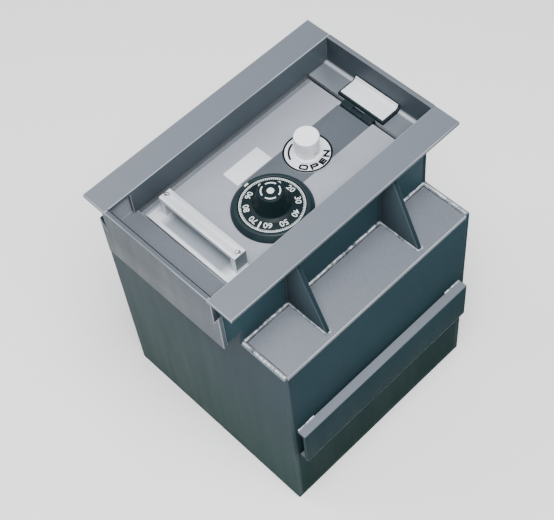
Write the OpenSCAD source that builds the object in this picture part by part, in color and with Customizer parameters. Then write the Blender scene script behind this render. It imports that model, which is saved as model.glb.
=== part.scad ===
// In-floor deposit safe: a welded plate box with a narrow neck, a recessed lift-up door and a collar.
// Millimetres. X runs from the near end to the far end (hinge end), Y from the front to the back, Z up.
// The origin is the middle of the underside of the base plate.

/* [Body] */
// Length of the body along X
body_l = 308; // [256:1:360]
// Width that the body has beyond the neck, on average of the front and the back
shoulder_w = 60; // [50:1:110]
// Thickness of the body, neck and collar plates
plate_t = 6; // [5:0.5:7]

/* [Neck and collar] */
// Overall height, up to the top of the flange
total_h = 424; // [320:1:600]
// Height of the neck, from the shoulders to the top of the flange
neck_h = 109; // [100:1:130]
// How far the middle of the neck lies behind the middle of the body
neck_off = 9; // [0:1:12]
// Length by which each end of the collar reaches past the body
collar_over = 24; // [21:1:29]
// Height of the near collar plate
collar_drop = 86; // [84:1:92]
// Width of each bar of the flange
flange_bar_w = 37; // [30:1:45]
// Clear width between the upright legs of the flange angles
recess_w = 166; // [164:1:210]
// Thickness of the flange angles
angle_t = 5; // [3:0.5:6]
// Height of the flange angles' upright legs, with the bar
angle_leg = 38; // [30:1:40]
// Length of the near end of the recess that has no upright leg
leg_setback = 37; // [20:1:40]
// Depth of the recess, from the flange top to the door's face
recess_depth = 42; // [38:1:48]
// Reach of the near ledge from the near end of the collar
near_ledge_l = 42.5; // [36:0.5:46]
// Height of the near ledge above the door's face
near_ledge_up = 3.5; // [2:0.5:5]
// Length of the keeper bar under the near ledge
keeper_l = 20; // [12:1:30]
// Reach of the far ledge from the far end of the collar
far_ledge_l = 37; // [32:1:40]
// Inside bend radius of the far ledge angle and of the hinge leaf that follows it
bend_r = 6; // [4:0.5:8]
// Width of the bars on which the door rests
rest_w = 14; // [10:1:15]
// Height of the bars on which the door rests
rest_h = 12; // [8:1:16]
// Length of the door's far end that the rest bars leave free
rest_short = 17; // [10:1:30]

/* [Gussets and channel] */
// Distance of each gusset from the middle of the neck
gusset_x = 76; // [50:1:100]
// Thickness of the gussets
gusset_t = 6; // [4:0.5:8]
// Distance from a gusset's toe to the edge of the shoulder
gusset_toe = 8; // [4:1:16]
// Distance from a gusset's top corner to the edge of the flange
gusset_top = 10; // [6:1:14]
// Height of the anchor channel
channel_h = 65; // [40:1:80]
// Depth of the anchor channel
channel_d = 13; // [12:1:20]
// Distance from each end of the anchor channel to the end of the body
channel_in = 9; // [2:1:34]
// Thickness of the anchor channel
channel_t = 4; // [2:0.5:5]
// Height of the anchor channel's lower edge above the base
channel_z = 115; // [60:1:200]

/* [Welds] */
// Leg of the fillet weld round the foot of the neck
neck_weld = 6; // [4:0.5:8]
// Leg of the fillet welds on the gussets and the channel
small_weld = 4; // [2:0.5:5]
// Width of the cap welds along the ends of the shoulders
cap_weld_w = 7; // [5:0.5:9]
// Height of the cap welds along the ends of the shoulders
cap_weld_h = 2; // [1:0.5:3]
// Length of each stitch weld on the channel
stitch_l = 28; // [15:1:50]

/* [Door] */
// Thickness of the door slab
slab_t = 12; // [10:0.5:14]
// Gap along the front and back edges of the door
side_gap = 1.5; // [1:0.25:2]
// Gap between the near ledge and the door
near_gap = 2; // [1.5:0.25:3]
// Gap between the door and the far ledge
far_gap = 4; // [4:0.25:5]
// Thickness of the face panel
panel_t = 1.5; // [1:0.25:2]
// Margin of the slab that shows beside the face panel
panel_margin = 6; // [3:0.5:10]
// Setback of the face panel from the door's near edge
panel_near = 0.5; // [0.25:0.25:1]
// Setback of the face panel from the door's far edge
panel_far = 1.5; // [1:0.25:2]
// Width of the darker centre strip and of the hinge notch
strip_w = 50.5; // [46:0.5:56]
// Thickness of the centre strip
strip_t = 0.5; // [0.3:0.1:1]

/* [Hinge] */
// Length of the hinge notch in the door's far edge
notch_l = 7; // [6.5:0.25:8]
// Distance of the hinge axis from the door's far edge
hinge_in = 1; // [0.5:0.25:1.5]
// Depth of the hinge axis below the door's face
hinge_down = 3; // [3:0.25:4]
// Radius of the hinge knuckles
knuckle_r = 4; // [3.5:0.25:4]
// Radius of the hinge pin
hinge_pin_r = 2; // [1.5:0.25:2.5]
// Width of the door's knuckle
door_knuckle_w = 16; // [10:1:24]
// Thickness of the tongues that join the knuckles to their leaves
tongue_t = 1.5; // [1:0.25:1.5]
// Width of the hinge leaf on the far ledge
leaf_w = 72; // [54:1:90]
// Thickness of the hinge leaf
leaf_t = 5; // [4:0.5:6]
// Distance of the hinge leaf from the far ledge's edge
leaf_in = 0.7; // [0.5:0.1:1]
// Thickness of the bare plate on the hinge leaf
leaf_plate_t = 1.2; // [0.8:0.1:2]
// Border of the hinge leaf round its bare plate
leaf_plate_edge = 1; // [0.5:0.25:3]

/* [Lift handle] */
// Distance from each end of the lift handle to the end of its foot
handle_in = 9; // [4:0.5:24]
// Height of the lift handle above the door's face
handle_h = 31; // [24:1:33]
// Width of the handle's foot
handle_foot = 32; // [26:1:40]
// Distance from each end of the handle's foot to the door's edge
handle_foot_in = 11; // [6.5:0.25:12]
// Thickness of the handle's foot and back
handle_t = 3; // [2:0.5:4]
// Width of the handle's grip
grip_w = 17; // [12:1:20]
// Thickness of the handle's grip
grip_t = 6; // [4:0.5:8]
// Thickness of the handle's end posts
post_t = 8; // [6:0.5:10]
// Radius of the handle screws' shanks
handle_screw_r = 2; // [1.5:0.25:2.5]
// Radius of the handle screws' heads
handle_screw_head_r = 3.6; // [3:0.1:3.9]
// Height of the handle screws' heads
handle_screw_head_h = 1; // [0.6:0.1:2]
// Length of the handle screws' shanks
handle_screw_l = 16; // [10:1:20]

/* [Combination dial] */
// Distance of the dial's axis in front of the middle of the neck
dial_front = 26; // [20:0.5:28]
// Radius of the dial ring at its foot
ring_r = 48; // [45:0.5:50]
// Width of the slope between the dial ring's foot and its rim
ring_slope = 5; // [2:0.5:8]
// Width of the dial ring's flat rim
ring_rim = 3.9; // [2:0.1:6]
// Height of the dial ring
ring_h = 9; // [8:0.5:12]
// Height of the dial ring's upright foot
ring_foot_h = 3; // [1:0.5:4]
// Thickness of the dial ring's floor
ring_floor_t = 2; // [1:0.25:3]
// Height of the dial's edge above the door's face
dial_edge_z = 8; // [7:0.5:10]
// Thickness of the dial at its edge
dial_t = 3; // [2:0.25:4]
// Height of the dial's cone above its edge
dial_cone_h = 3; // [1:0.5:5]
// Radius of the foot of the dial's knob
dial_knob_r = 20; // [17:0.5:24]
// Radius of the top of the dial's knob
dial_knob_top_r = 15; // [12:0.5:18]
// Height of the dial's knob top above the door's face
dial_knob_h = 34; // [28:0.5:36]
// Rounding of the knob's top edge
dial_knob_round = 1.5; // [0.5:0.25:3]

/* [Release knob] */
// Distance of the release knob's axis behind the middle of the neck
knob_back = 0.5; // [0:0.5:4]
// Radius of the knob's round plate
knob_plate_r = 29; // [25:0.5:32]
// Thickness of the knob's round plate
knob_plate_t = 1.2; // [0.8:0.1:2]
// Radius of the release knob's foot
knob_foot_r = 17; // [16:0.5:19]
// Height of the release knob's foot
knob_foot_h = 3; // [2:0.5:5]
// Radius of the release knob above its foot
knob_waist_r = 14.4; // [12:0.2:15]
// Radius of the release knob at its top
knob_top_r = 15.2; // [13:0.2:17]
// Height of the release knob above the door's face
knob_h = 32.5; // [28:0.5:35]
// Rounding of the release knob's top edge
knob_round = 2; // [1:0.5:4]
// Height of the set screw above the door's face
set_screw_z = 11; // [8:0.5:16]
// Radius of the set screw
set_screw_r = 1.6; // [1:0.1:2.5]
// Length of the set screw
set_screw_l = 7; // [4:0.5:9]

/* [Bolt work] */
// Travel of the locking bolts
bolt_throw = 22; // [18:0.5:22]
// Radius of the locking bolts
bolt_r = 7; // [5:0.5:7]
// Distance from the outer locking bolts to the ends of the guide block
bolt_in = 17; // [13:0.5:24]
// Depth of the locking bolts' axis below the slab
bolt_down = 8.5; // [8.5:0.25:9]
// Length of the chamfer on the bolts' tips
bolt_tip = 2; // [1:0.5:3]
// Setback of the bolts' tips from the slab's near edge
bolt_back = 0.5; // [0.5:0.25:1]
// Setback of the guide block from the slab's near edge
guide_back = 2.5; // [2:0.5:4]
// Length of the guide block along the bolts
guide_l = 12; // [8:0.5:14]
// Distance from each end of the guide block to the door's edge
guide_in = 18.5; // [14:0.5:24]
// Height of the guide block
guide_h = 22; // [18:1:26]
// Length of the cross head along the bolts
head_l = 12; // [8:0.5:16]
// Distance from each end of the cross head to the end of the guide block
head_in = 2; // [0.5:0.5:6]
// Height of the cross head
head_h = 19; // [17:0.5:22]
// Thickness of the sliding bar
bar_t = 8; // [6:0.5:8]
// Width of the sliding bar
bar_w = 22; // [16:1:24]
// Radius of the crank pin
crank_pin_r = 3; // [2:0.25:3.5]
// Radius of the crank disc
crank_disc_r = 20; // [19:0.5:22]
// Thickness of the crank disc
crank_t = 5; // [3:0.5:5]
// Radius of the release knob's spindle
knob_spindle_r = 5; // [4:0.25:6]
// Play between the crank pin and its slot
slot_play = 0.6; // [0.5:0.05:0.8]
// Wall of the yoke round its slot
yoke_wall = 7; // [5:0.5:8]
// Length of the bar guide along the bar
bar_guide_l = 12; // [8:1:20]
// Distance of the bar guide behind the lock case
bar_guide_gap = 7; // [4:1:12]
// Thickness of the bar guide's walls
bar_guide_t = 4; // [3:0.5:4]

/* [Lock] */
// Length of the lock case along the lock bolt
case_l = 81; // [78:1:82]
// Width of the lock case
case_w = 62; // [56:1:64]
// Height of the lock case
case_h = 25; // [24:0.5:28]
// Wall of the lock case
case_t = 3; // [2:0.25:3]
// Distance from the spindle to the front wall of the lock case
case_front = 29.5; // [28:0.5:32]
// Thickness of the lock cover
cover_t = 2; // [1.5:0.25:3]
// Radius of the screws of the lock cover
cover_screw_r = 1.5; // [1:0.25:2]
// Radius of the screw heads of the lock cover
cover_head_r = 3; // [2.5:0.25:3.5]
// Height of the screw heads of the lock cover
cover_head_h = 2; // [1:0.25:3]
// Radius of the screw bosses in the lock case
case_boss_r = 4; // [3.5:0.25:5]
// Radius of the dial spindle
spindle_r = 4; // [3:0.25:4.5]
// Outer radius of the wheel post
wheel_post_r = 6; // [5.5:0.25:7]
// Radius of the lock wheels
wheel_r = 22; // [18:0.5:22]
// Thickness of a lock wheel
wheel_t = 1.6; // [1.2:0.1:2]
// Distance between lock wheels
wheel_pitch = 3.5; // [3:0.1:3.8]
// Width of the gate in each wheel and in the drive cam
gate_w = 5; // [3:0.5:7]
// Depth of the gate in each wheel and in the drive cam
gate_d = 5; // [3:0.5:7]
// Radius of the drive cam
cam_r = 20; // [16:0.5:20]
// Thickness of the drive cam
cam_t = 4; // [3:0.5:4.5]
// Gap between the drive cam and the lock cover
cam_gap = 2; // [1:0.25:2.5]
// Width of the lock bolt
lock_bolt_w = 13; // [10:0.5:13]
// Length of the lock bolt
lock_bolt_l = 27.5; // [25:0.5:28]
// Travel of the lock bolt
lock_throw = 9.5; // [6:0.5:9.5]
// Thickness of the lug that the lock bolt blocks
lug_t = 6; // [4:0.5:6]
// Thickness of the lock lever
lever_t = 4; // [3:0.5:4]
// Length of the lock lever
lever_l = 16; // [12:0.5:16]
// Width of the fence bar
fence_w = 3; // [2:0.5:4]

/* [Plates] */
// Length of the bare plate on the face panel
name_plate_l = 54.5; // [40:0.5:70]
// Width of the bare plate on the face panel
name_plate_w = 25; // [18:0.5:34]
// Thickness of the bare plate on the face panel
name_plate_t = 0.8; // [0.4:0.1:1.5]
// Distance from the dial's axis to the middle of the bare plate, along X
name_plate_from_dial = 22.5; // [10:0.5:40]
// Distance of the bare plate from the centre strip and from the dial ring
name_plate_gap = 0.75; // [0.5:0.25:6]

/* [Fits] */
// Radial running clearance of shafts in their bores
run_gap = 0.05; // [0.02:0.01:0.08]
// Clearance of parts that slide past each other
slide_gap = 0.3; // [0.2:0.05:0.5]
// Clearance left at the end of a travel, and between parts that pass without touching
work_gap = 1; // [0.6:0.1:1.2]

/* [Hidden] */
$fn = 96;
// Overrun of every cut past the face that it opens
cut = 1;

// Levels
shoulder_h = total_h - neck_h;
z_flange = total_h - angle_t;
z_face = total_h - recess_depth;
z_slab_top = z_face - panel_t;
z_slab = z_slab_top - slab_t;
z_collar = total_h - collar_drop;
z_far_ledge = z_face - plate_t;
z_leg = total_h - angle_leg;
z_near_ledge = z_face + near_ledge_up;
z_bolt = z_slab - bolt_down;

// Places along X
x_out = body_l / 2;
x_in = x_out - plate_t;
x_end = x_out + collar_over;
x_collar = x_end - plate_t;
x_leg = -x_end + leg_setback;
x_near_ledge = -x_end + near_ledge_l;
x_far_ledge = x_end - far_ledge_l;
x_slab_near = x_near_ledge + near_gap;
x_slab_far = x_far_ledge - far_gap;
x_notch = x_slab_far - notch_l;

// Places along Y
recess_y = recess_w / 2;
neck_in = recess_y + angle_t;
neck_out = neck_in + plate_t;
flange_y = recess_y + flange_bar_w;
y_out = neck_out + shoulder_w;
y_in = y_out - plate_t;
slab_y = recess_y - side_gap;
panel_y = slab_y - panel_margin;

// Near collar plate: shares of its height at which its tabs start and of the neck's wall that they reach
tab_low_share = 0.54;
tab_high_share = 0.75;
tab_reach_share = 0.5;

// Hinge
hinge_x = x_slab_far - hinge_in;
hinge_z = z_face - hinge_down;
notch_y = strip_w / 2;
knuckle_end = notch_y - work_gap;
door_knuckle_y = door_knuckle_w / 2;
x_leaf = x_far_ledge + leaf_in;
leaf_y = leaf_w / 2;
z_leaf = z_face + leaf_t;
tongue_top = z_face + tongue_t;

// Handle
foot_y = slab_y - handle_foot_in;
handle_y = foot_y - handle_in;
x_handle = x_slab_near;
x_handle_far = x_handle + handle_foot;
x_grip = x_handle_far - grip_w;
z_handle = z_face + handle_h;

// Door's length beside the handle's foot, the dial ring, the knob's plate and the hinge notch
door_free = x_notch - x_slab_near - handle_foot - (ring_r + knob_plate_r) * 2;
// Shares of that length before the dial ring, and between it and the knob's plate
ring_gap_share = 0.31;
knob_gap_share = 0.077;

// Dial and lock
dial_x = x_slab_near + handle_foot + door_free * ring_gap_share + ring_r;
dial_y = neck_off - dial_front;
ring_rim_r = ring_r - ring_slope;
ring_in_r = ring_rim_r - ring_rim;
dial_r = ring_in_r - slide_gap * 2;
z_dial = z_face + dial_edge_z;
z_case = z_slab - case_h;
z_ceiling = z_slab - case_t;
z_cam = z_case + cam_gap;
z_bar = z_bolt - bar_t;
case_x = case_w / 2;
y_case_front = dial_y - case_front;
y_case_back = y_case_front + case_l;
z_wheels = z_bar + work_gap;
y_lever = dial_y + wheel_r;
y_lock_bolt = y_case_back + work_gap / 2;
x_lug = dial_x + lock_bolt_w / 2 + work_gap;
// Turn of the gate in the first, second and third wheel
wheel_turns = [40, 150, -80];

// Release knob and bolt work
knob_x = dial_x + ring_r + door_free * knob_gap_share + knob_plate_r;
knob_y = neck_off + knob_back;
pin_off = bolt_throw / 2;
// Turn of the crank pin at rest, half the knob's turn before the middle of its travel
crank_turn = 45;
crank_r = pin_off / cos(crank_turn);
pin_y = knob_y + crank_r * sin(crank_turn);
z_crank = z_bar + bar_t + work_gap;
x_guide = x_slab_near + guide_back;
guide_y = slab_y - guide_in;
head_y = guide_y - head_in;
x_head = x_guide + guide_l + bolt_throw + work_gap;
x_head_far = x_head + head_l;
bar_y = y_lock_bolt + lock_throw + work_gap;
slot_w = (crank_pin_r + slot_play) * 2;
x_slot = knob_x + pin_off;
x_yoke = x_slot - slot_w / 2 - yoke_wall;
x_yoke_far = x_slot + slot_w / 2 + yoke_wall;
y_slot = pin_y - crank_pin_r - slot_play;
y_slot_far = knob_y + crank_r + crank_pin_r + slot_play;
y_yoke = y_slot - yoke_wall;

// Colours
painted = [0.58, 0.62, 0.66];
dark_painted = [0.22, 0.31, 0.34];
bead_metal = [0.75, 0.78, 0.8];
panel_grey = [0.66, 0.7, 0.74];
strip_grey = [0.42, 0.47, 0.5];
near_white = [0.9, 0.91, 0.94];
dial_black = [0.06, 0.09, 0.1];
raw_steel = [0.6, 0.62, 0.63];
brass = [0.78, 0.66, 0.35];

// Box between two corners
module block(low, high) {
    translate(low) cube(high - low);
}

// Outline in X and Z, extruded from y0 to y1
module along_y(points, y0, y1) {
    translate([0, y1, 0]) rotate([90, 0, 0]) linear_extrude(y1 - y0) polygon(points);
}

// Outline in Y and Z, extruded from x0 to x1
module along_x(points, x0, x1) {
    translate([x0, 0, 0]) rotate([90, 0, 90]) linear_extrude(x1 - x0) polygon(points);
}

// Outline in X and Y, extruded from z0 to z1
module along_z(points, z0, z1) {
    translate([0, 0, z0]) linear_extrude(z1 - z0) polygon(points);
}

// Upright round bar from z0 to z1
module rod(x, y, z0, z1, r) {
    translate([x, y, z0]) cylinder(h = z1 - z0, r = r);
}

// Points of an arc in a flat outline
function arc(centre, r, from, to, steps = 8) =
    [for (i = [0 : steps]) centre + r * [cos(from + (to - from) * i / steps), sin(from + (to - from) * i / steps)]];

// Turns a front piece of the neck into the back one
module behind_neck() {
    translate([0, neck_off * 2, 0]) mirror([0, 1, 0]) children();
}

// Base and side plates
module base_plate() {
    color(dark_painted) block([-x_out, -y_out, 0], [x_out, y_out, plate_t]);
}

module front_plate() {
    color(dark_painted) block([-x_in, -y_out, plate_t], [x_in, -y_in, shoulder_h - plate_t]);
}

module back_plate() {
    color(dark_painted) block([-x_in, y_in, plate_t], [x_in, y_out, shoulder_h - plate_t]);
}

// End plate with the neck's end wall standing on it, up to the height that it is given
module end_plate(x0, neck_top) {
    shoulder = [[-y_out, plate_t], [y_out, plate_t], [y_out, shoulder_h], [neck_off + neck_out, shoulder_h]];
    neck = [[neck_off + neck_out, neck_top], [neck_off - neck_out, neck_top]];
    rest = [[neck_off - neck_out, shoulder_h], [-y_out, shoulder_h]];
    along_x(concat(shoulder, neck, rest), x0, x0 + plate_t);
}

module near_end_plate() {
    color(dark_painted) end_plate(-x_out, z_collar);
}

module far_end_plate() {
    color(dark_painted) end_plate(x_in, z_far_ledge);
}

// Shoulders
module front_shoulder_plate() {
    color(painted)
        block([-x_in, -y_out, shoulder_h - plate_t], [x_in, neck_off - neck_out, shoulder_h]);
}

module back_shoulder_plate() {
    color(painted)
        block([-x_in, neck_off + neck_out, shoulder_h - plate_t], [x_in, y_out, shoulder_h]);
}

// Long walls of the neck, which also close the sides of the collar
module front_neck_plate() {
    foot = [[-x_in, shoulder_h - plate_t], [x_in, shoulder_h - plate_t], [x_in, z_far_ledge]];
    far = [[x_collar, z_far_ledge], [x_collar, z_flange]];
    near = [[-x_collar, z_flange], [-x_collar, z_collar], [-x_in, z_collar]];
    color(dark_painted)
        along_y(concat(foot, far, near), neck_off - neck_out, neck_off - neck_in);
}

module back_neck_plate() {
    color(dark_painted) behind_neck() front_neck_plate();
}

// Near end of the collar, with a tab at each side below the flange
module near_collar_plate() {
    tab_low = z_collar + collar_drop * tab_low_share;
    tab_high = z_collar + collar_drop * tab_high_share;
    tab_y = neck_out + plate_t * tab_reach_share;
    side = [[tab_y, z_collar], [tab_y, tab_high], [neck_in, tab_low], [neck_in, z_flange]];
    top = [[recess_y, z_flange], [recess_y, total_h]];
    half = concat(side, top);
    count = len(half);
    other = [for (i = [0 : count - 1]) [-half[count - 1 - i][0], half[count - 1 - i][1]]];
    color(painted)
        translate([0, neck_off, 0]) along_x(concat(half, other), -x_end, -x_collar);
}

module pocket_floor() {
    color(dark_painted)
        block([-x_collar, neck_off - neck_in, z_collar], [-x_in, neck_off + neck_in, z_collar + plate_t]);
}

// Ledge that covers the bolt pocket
module near_ledge_plate() {
    color(painted)
        block([-x_collar, neck_off - neck_in, z_near_ledge - plate_t],
            [x_near_ledge, neck_off + neck_in, z_near_ledge]);
}

// Bar under the near ledge, below which the locking bolts catch
module bolt_keeper() {
    color(dark_painted)
        block([x_near_ledge - keeper_l, neck_off - neck_in, z_slab],
            [x_near_ledge, neck_off + neck_in, z_near_ledge - plate_t]);
}

// Far end of the collar: an upright plate and a ledge with a round inside bend
module far_ledge_angle() {
    bend = arc([x_collar - bend_r, z_face + bend_r], bend_r, -90, 0);
    under = [[x_end, z_far_ledge], [x_far_ledge, z_far_ledge], [x_far_ledge, z_face]];
    ledge = concat(under, bend, [[x_end, z_face + bend_r]]);
    color(painted) {
        along_y(ledge, neck_off - neck_in, neck_off + neck_in);
        block([x_collar, neck_off - neck_out, z_far_ledge], [x_end, neck_off + neck_out, z_flange]);
        block([x_collar, neck_off - recess_y, z_flange], [x_end, neck_off + recess_y, total_h]);
    }
}

// Flange bar with an upright leg that lines the recess
module front_flange_angle() {
    color(painted) {
        block([-x_end, neck_off - flange_y, z_flange], [x_end, neck_off - recess_y, total_h]);
        block([x_leg, neck_off - neck_in, z_leg], [x_collar, neck_off - recess_y, z_flange]);
    }
}

module back_flange_angle() {
    color(painted) behind_neck() front_flange_angle();
}

// Gusset from the neck to the shoulder's edge, under the flange
module gusset(x, side) {
    wall = neck_off + side * neck_out;
    toe = side * (y_out - gusset_toe);
    tip = neck_off + side * (flange_y - gusset_top);
    outline = [[wall, shoulder_h], [toe, shoulder_h], [tip, z_flange], [wall, z_flange]];
    color(dark_painted) along_x(outline, x - gusset_t / 2, x + gusset_t / 2);
}

module front_near_gusset() gusset(-gusset_x, -1);

module front_far_gusset() gusset(gusset_x, -1);

module back_near_gusset() gusset(-gusset_x, 1);

module back_far_gusset() gusset(gusset_x, 1);

// Channel on the front wall that the floor's concrete grips
module anchor_channel() {
    out = -y_out - channel_d;
    z_top = channel_z + channel_h;
    web = out + channel_t;
    end = x_out - channel_in;
    outer = [[-y_out, channel_z], [out, channel_z], [out, z_top], [-y_out, z_top]];
    inner = [[-y_out, z_top - channel_t], [web, z_top - channel_t], [web, channel_z + channel_t],
        [-y_out, channel_z + channel_t]];
    color(dark_painted) along_x(concat(outer, inner), -end, end);
}

// Fillet weld along X in the corner at y, z, with its legs towards sy and sz
module weld_x(x0, x1, y, z, sy, sz, leg) {
    along_x([[y, z], [y + sy * leg, z], [y, z + sz * leg]], x0, x1);
}

// Fillet weld along Y in the corner at x, z
module weld_y(y0, y1, x, z, sx, leg) {
    along_y([[x, z], [x + sx * leg, z], [x, z + leg]], min(y0, y1), max(y0, y1));
}

// Fillet weld along Z in the corner at x, y
module weld_z(z0, z1, x, y, sx, sy, leg) {
    along_z([[x, y], [x + sx * leg, y], [x, y + sy * leg]], z0, z1);
}

// Welds round the foot of the neck, between the gussets
module neck_welds() {
    stops = [-x_in, -gusset_x - gusset_t / 2, -gusset_x + gusset_t / 2,
        gusset_x - gusset_t / 2, gusset_x + gusset_t / 2, x_in];
    color(bead_metal)
        for (side = [-1, 1], i = [0, 2, 4])
            weld_x(stops[i], stops[i + 1], neck_off + side * neck_out, shoulder_h, side, 1, neck_weld);
}

// Welds along the foot and the wall of each gusset, on both of its faces
module gusset_welds() {
    color(bead_metal)
        for (side = [-1, 1], place = [-1, 1], face = [-1, 1]) {
            x = place * gusset_x + face * gusset_t / 2;
            wall = neck_off + side * neck_out;
            weld_y(wall + side * neck_weld, side * (y_out - gusset_toe), x, shoulder_h, face, small_weld);
            weld_z(shoulder_h + neck_weld, z_flange, x, wall, face, side, small_weld);
        }
}

// Cap welds over the joints between the shoulders and the end plates
module shoulder_welds() {
    cap = [[0, 0], [cap_weld_w, 0], [cap_weld_w - cap_weld_h, cap_weld_h], [cap_weld_h, cap_weld_h]];
    color(bead_metal)
        for (side = [-1, 1], end = [-1, 1]) {
            wall = neck_off + side * (neck_out + neck_weld);
            edge = side * y_out;
            points = [for (p = cap) [end * (x_out - p[0]), shoulder_h + p[1]]];
            along_y(points, min(wall, edge), max(wall, edge));
        }
}

// Stitch welds at both ends of the channel, above and below
module channel_welds() {
    low = channel_z;
    high = channel_z + channel_h;
    far = x_out - channel_in;
    color(bead_metal)
        for (x0 = [-far, far - stitch_l]) {
            weld_x(x0, x0 + stitch_l, -y_out, high, -1, 1, small_weld);
            weld_x(x0, x0 + stitch_l, -y_out, low, -1, -1, small_weld);
        }
}

// Bars inside the neck on which the door rests
module front_door_rest() {
    color(dark_painted)
        block([x_near_ledge, neck_off - neck_in, z_slab - rest_h],
            [x_slab_far - rest_short, neck_off - neck_in + rest_w, z_slab - slide_gap]);
}

module back_door_rest() {
    color(dark_painted) behind_neck() front_door_rest();
}

// Round bar along Y between y0 and y1 on the hinge's axis
module hinge_bar(y0, y1, r) {
    translate([hinge_x, y0, hinge_z]) rotate([-90, 0, 0]) cylinder(h = y1 - y0, r = r);
}

// Middle of the bend at the far end of the hinge leaf, at the height that it is given
function leaf_bend(z) = [x_collar - bend_r, z + bend_r];

// Hinge leaf on the far ledge, with the two outer knuckles
module hinge_fixed_leaf() {
    under = arc(leaf_bend(z_face), bend_r, -90, 0);
    over = arc(leaf_bend(z_leaf), bend_r, 0, -90);
    color(painted)
        translate([0, neck_off, 0]) {
            along_y(concat([[x_leaf, z_face]], under, over, [[x_leaf, z_leaf]]), -leaf_y, leaf_y);
            for (side = [0, 1]) mirror([0, side, 0]) outer_knuckle();
        }
}

// Outer knuckle with its root, which meets the ledge's edge and reaches over it to the leaf
module outer_knuckle() {
    y0 = door_knuckle_y + slide_gap;
    difference() {
        union() {
            hinge_bar(y0, knuckle_end, knuckle_r);
            block([hinge_x, y0, hinge_z], [x_far_ledge, knuckle_end, tongue_top]);
            block([hinge_x, y0, z_face], [x_leaf, knuckle_end, tongue_top]);
        }
        hinge_bar(y0 - cut, knuckle_end + cut, hinge_pin_r);
    }
}

// Bare plate that covers the hinge leaf
module hinge_leaf_plate() {
    x0 = x_leaf + leaf_plate_edge;
    under = arc(leaf_bend(z_leaf), bend_r, -90, 0);
    over = arc(leaf_bend(z_leaf), bend_r - leaf_plate_t, 0, -90);
    outline = concat([[x0, z_leaf]], under, over, [[x0, z_leaf + leaf_plate_t]]);
    color(near_white)
        along_y(outline, neck_off - leaf_y + leaf_plate_edge, neck_off + leaf_y - leaf_plate_edge);
}

module hinge_pin() {
    color(raw_steel)
        translate([0, neck_off, 0]) hinge_bar(-knuckle_end, knuckle_end, hinge_pin_r);
}

// Door slab, notched for the hinge and bored for both spindles
module door_slab() {
    color(painted)
        difference() {
            block([x_slab_near, neck_off - slab_y, z_slab], [x_slab_far, neck_off + slab_y, z_slab_top]);
            block([x_notch, neck_off - notch_y, z_slab - cut],
                [x_slab_far + cut, neck_off + notch_y, z_slab_top + cut]);
            rod(dial_x, dial_y, z_slab - cut, z_slab_top + cut, wheel_post_r);
            rod(knob_x, knob_y, z_slab - cut, z_slab_top + cut, knob_spindle_r + run_gap);
        }
}

// Sheet that faces the door
module face_panel() {
    color(panel_grey)
        difference() {
            block([x_slab_near + panel_near, neck_off - panel_y, z_slab_top],
                [x_slab_far - panel_far, neck_off + panel_y, z_face]);
            block([x_notch, neck_off - notch_y, z_slab_top - cut],
                [x_slab_far, neck_off + notch_y, z_face + cut]);
            rod(dial_x, dial_y, z_slab_top - cut, z_face + cut, wheel_post_r);
            rod(knob_x, knob_y, z_slab_top - cut, z_face + cut, knob_spindle_r + slide_gap);
        }
}

// Darker strip from the dial ring to the hinge notch
module centre_strip() {
    color(strip_grey)
        difference() {
            block([dial_x, neck_off - notch_y, z_face], [x_notch, neck_off + notch_y, z_face + strip_t]);
            rod(dial_x, dial_y, z_face - cut, z_face + strip_t + cut, ring_r);
            rod(knob_x, knob_y, z_face - cut, z_face + strip_t + cut, knob_spindle_r + slide_gap);
        }
}

// Door's knuckle with the tongue that joins it to the slab
module hinge_door_knuckle() {
    color(painted)
        translate([0, neck_off, 0])
            difference() {
                union() {
                    hinge_bar(-door_knuckle_y, door_knuckle_y, knuckle_r);
                    block([x_notch, -door_knuckle_y, hinge_z - knuckle_r],
                        [hinge_x, door_knuckle_y, hinge_z - knuckle_r + tongue_t]);
                }
                hinge_bar(-door_knuckle_y - cut, door_knuckle_y + cut, hinge_pin_r + run_gap);
            }
}

// Pull with a foot, a back, a grip and two end posts, open towards the near end
module lift_handle() {
    section = [[x_handle_far, z_face], [x_handle_far, z_handle], [x_grip, z_handle],
        [x_grip, z_handle - grip_t], [x_handle_far - handle_t, z_handle - grip_t],
        [x_handle_far - handle_t, z_face]];
    color(near_white)
        translate([0, neck_off, 0])
            difference() {
                union() {
                    along_y(section, -handle_y, handle_y);
                    block([x_handle, -foot_y, z_face], [x_handle_far, foot_y, z_face + handle_t]);
                    for (y = [-handle_y, handle_y - post_t])
                        block([x_grip, y, z_face + handle_t],
                            [x_handle_far - handle_t, y + post_t, z_handle - grip_t]);
                }
                for (side = [-1, 1])
                    rod((x_grip + x_handle_far) / 2, side * (handle_y - post_t / 2),
                        z_handle - handle_screw_l, z_handle + cut, handle_screw_r);
            }
}

module handle_screws() {
    color(raw_steel)
        for (side = [-1, 1]) {
            x = (x_grip + x_handle_far) / 2;
            y = neck_off + side * (handle_y - post_t / 2);
            rod(x, y, z_handle, z_handle + handle_screw_head_h, handle_screw_head_r);
            rod(x, y, z_handle - handle_screw_l, z_handle, handle_screw_r);
        }
}

module name_plate() {
    x0 = dial_x + name_plate_from_dial - name_plate_l / 2;
    y0 = max(neck_off + notch_y, dial_y + ring_r) + name_plate_gap;
    color(near_white)
        block([x0, y0, z_face], [x0 + name_plate_l, y0 + name_plate_w, z_face + name_plate_t]);
}

// Ring round the dial: a floor and a bevelled rim
module dial_ring() {
    outline = [[wheel_post_r, 0], [ring_r, 0], [ring_r, ring_foot_h], [ring_rim_r, ring_h],
        [ring_in_r, ring_h], [ring_in_r, ring_floor_t], [wheel_post_r, ring_floor_t]];
    color(dial_black) translate([dial_x, dial_y, z_face]) rotate_extrude() polygon(outline);
}

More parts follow.
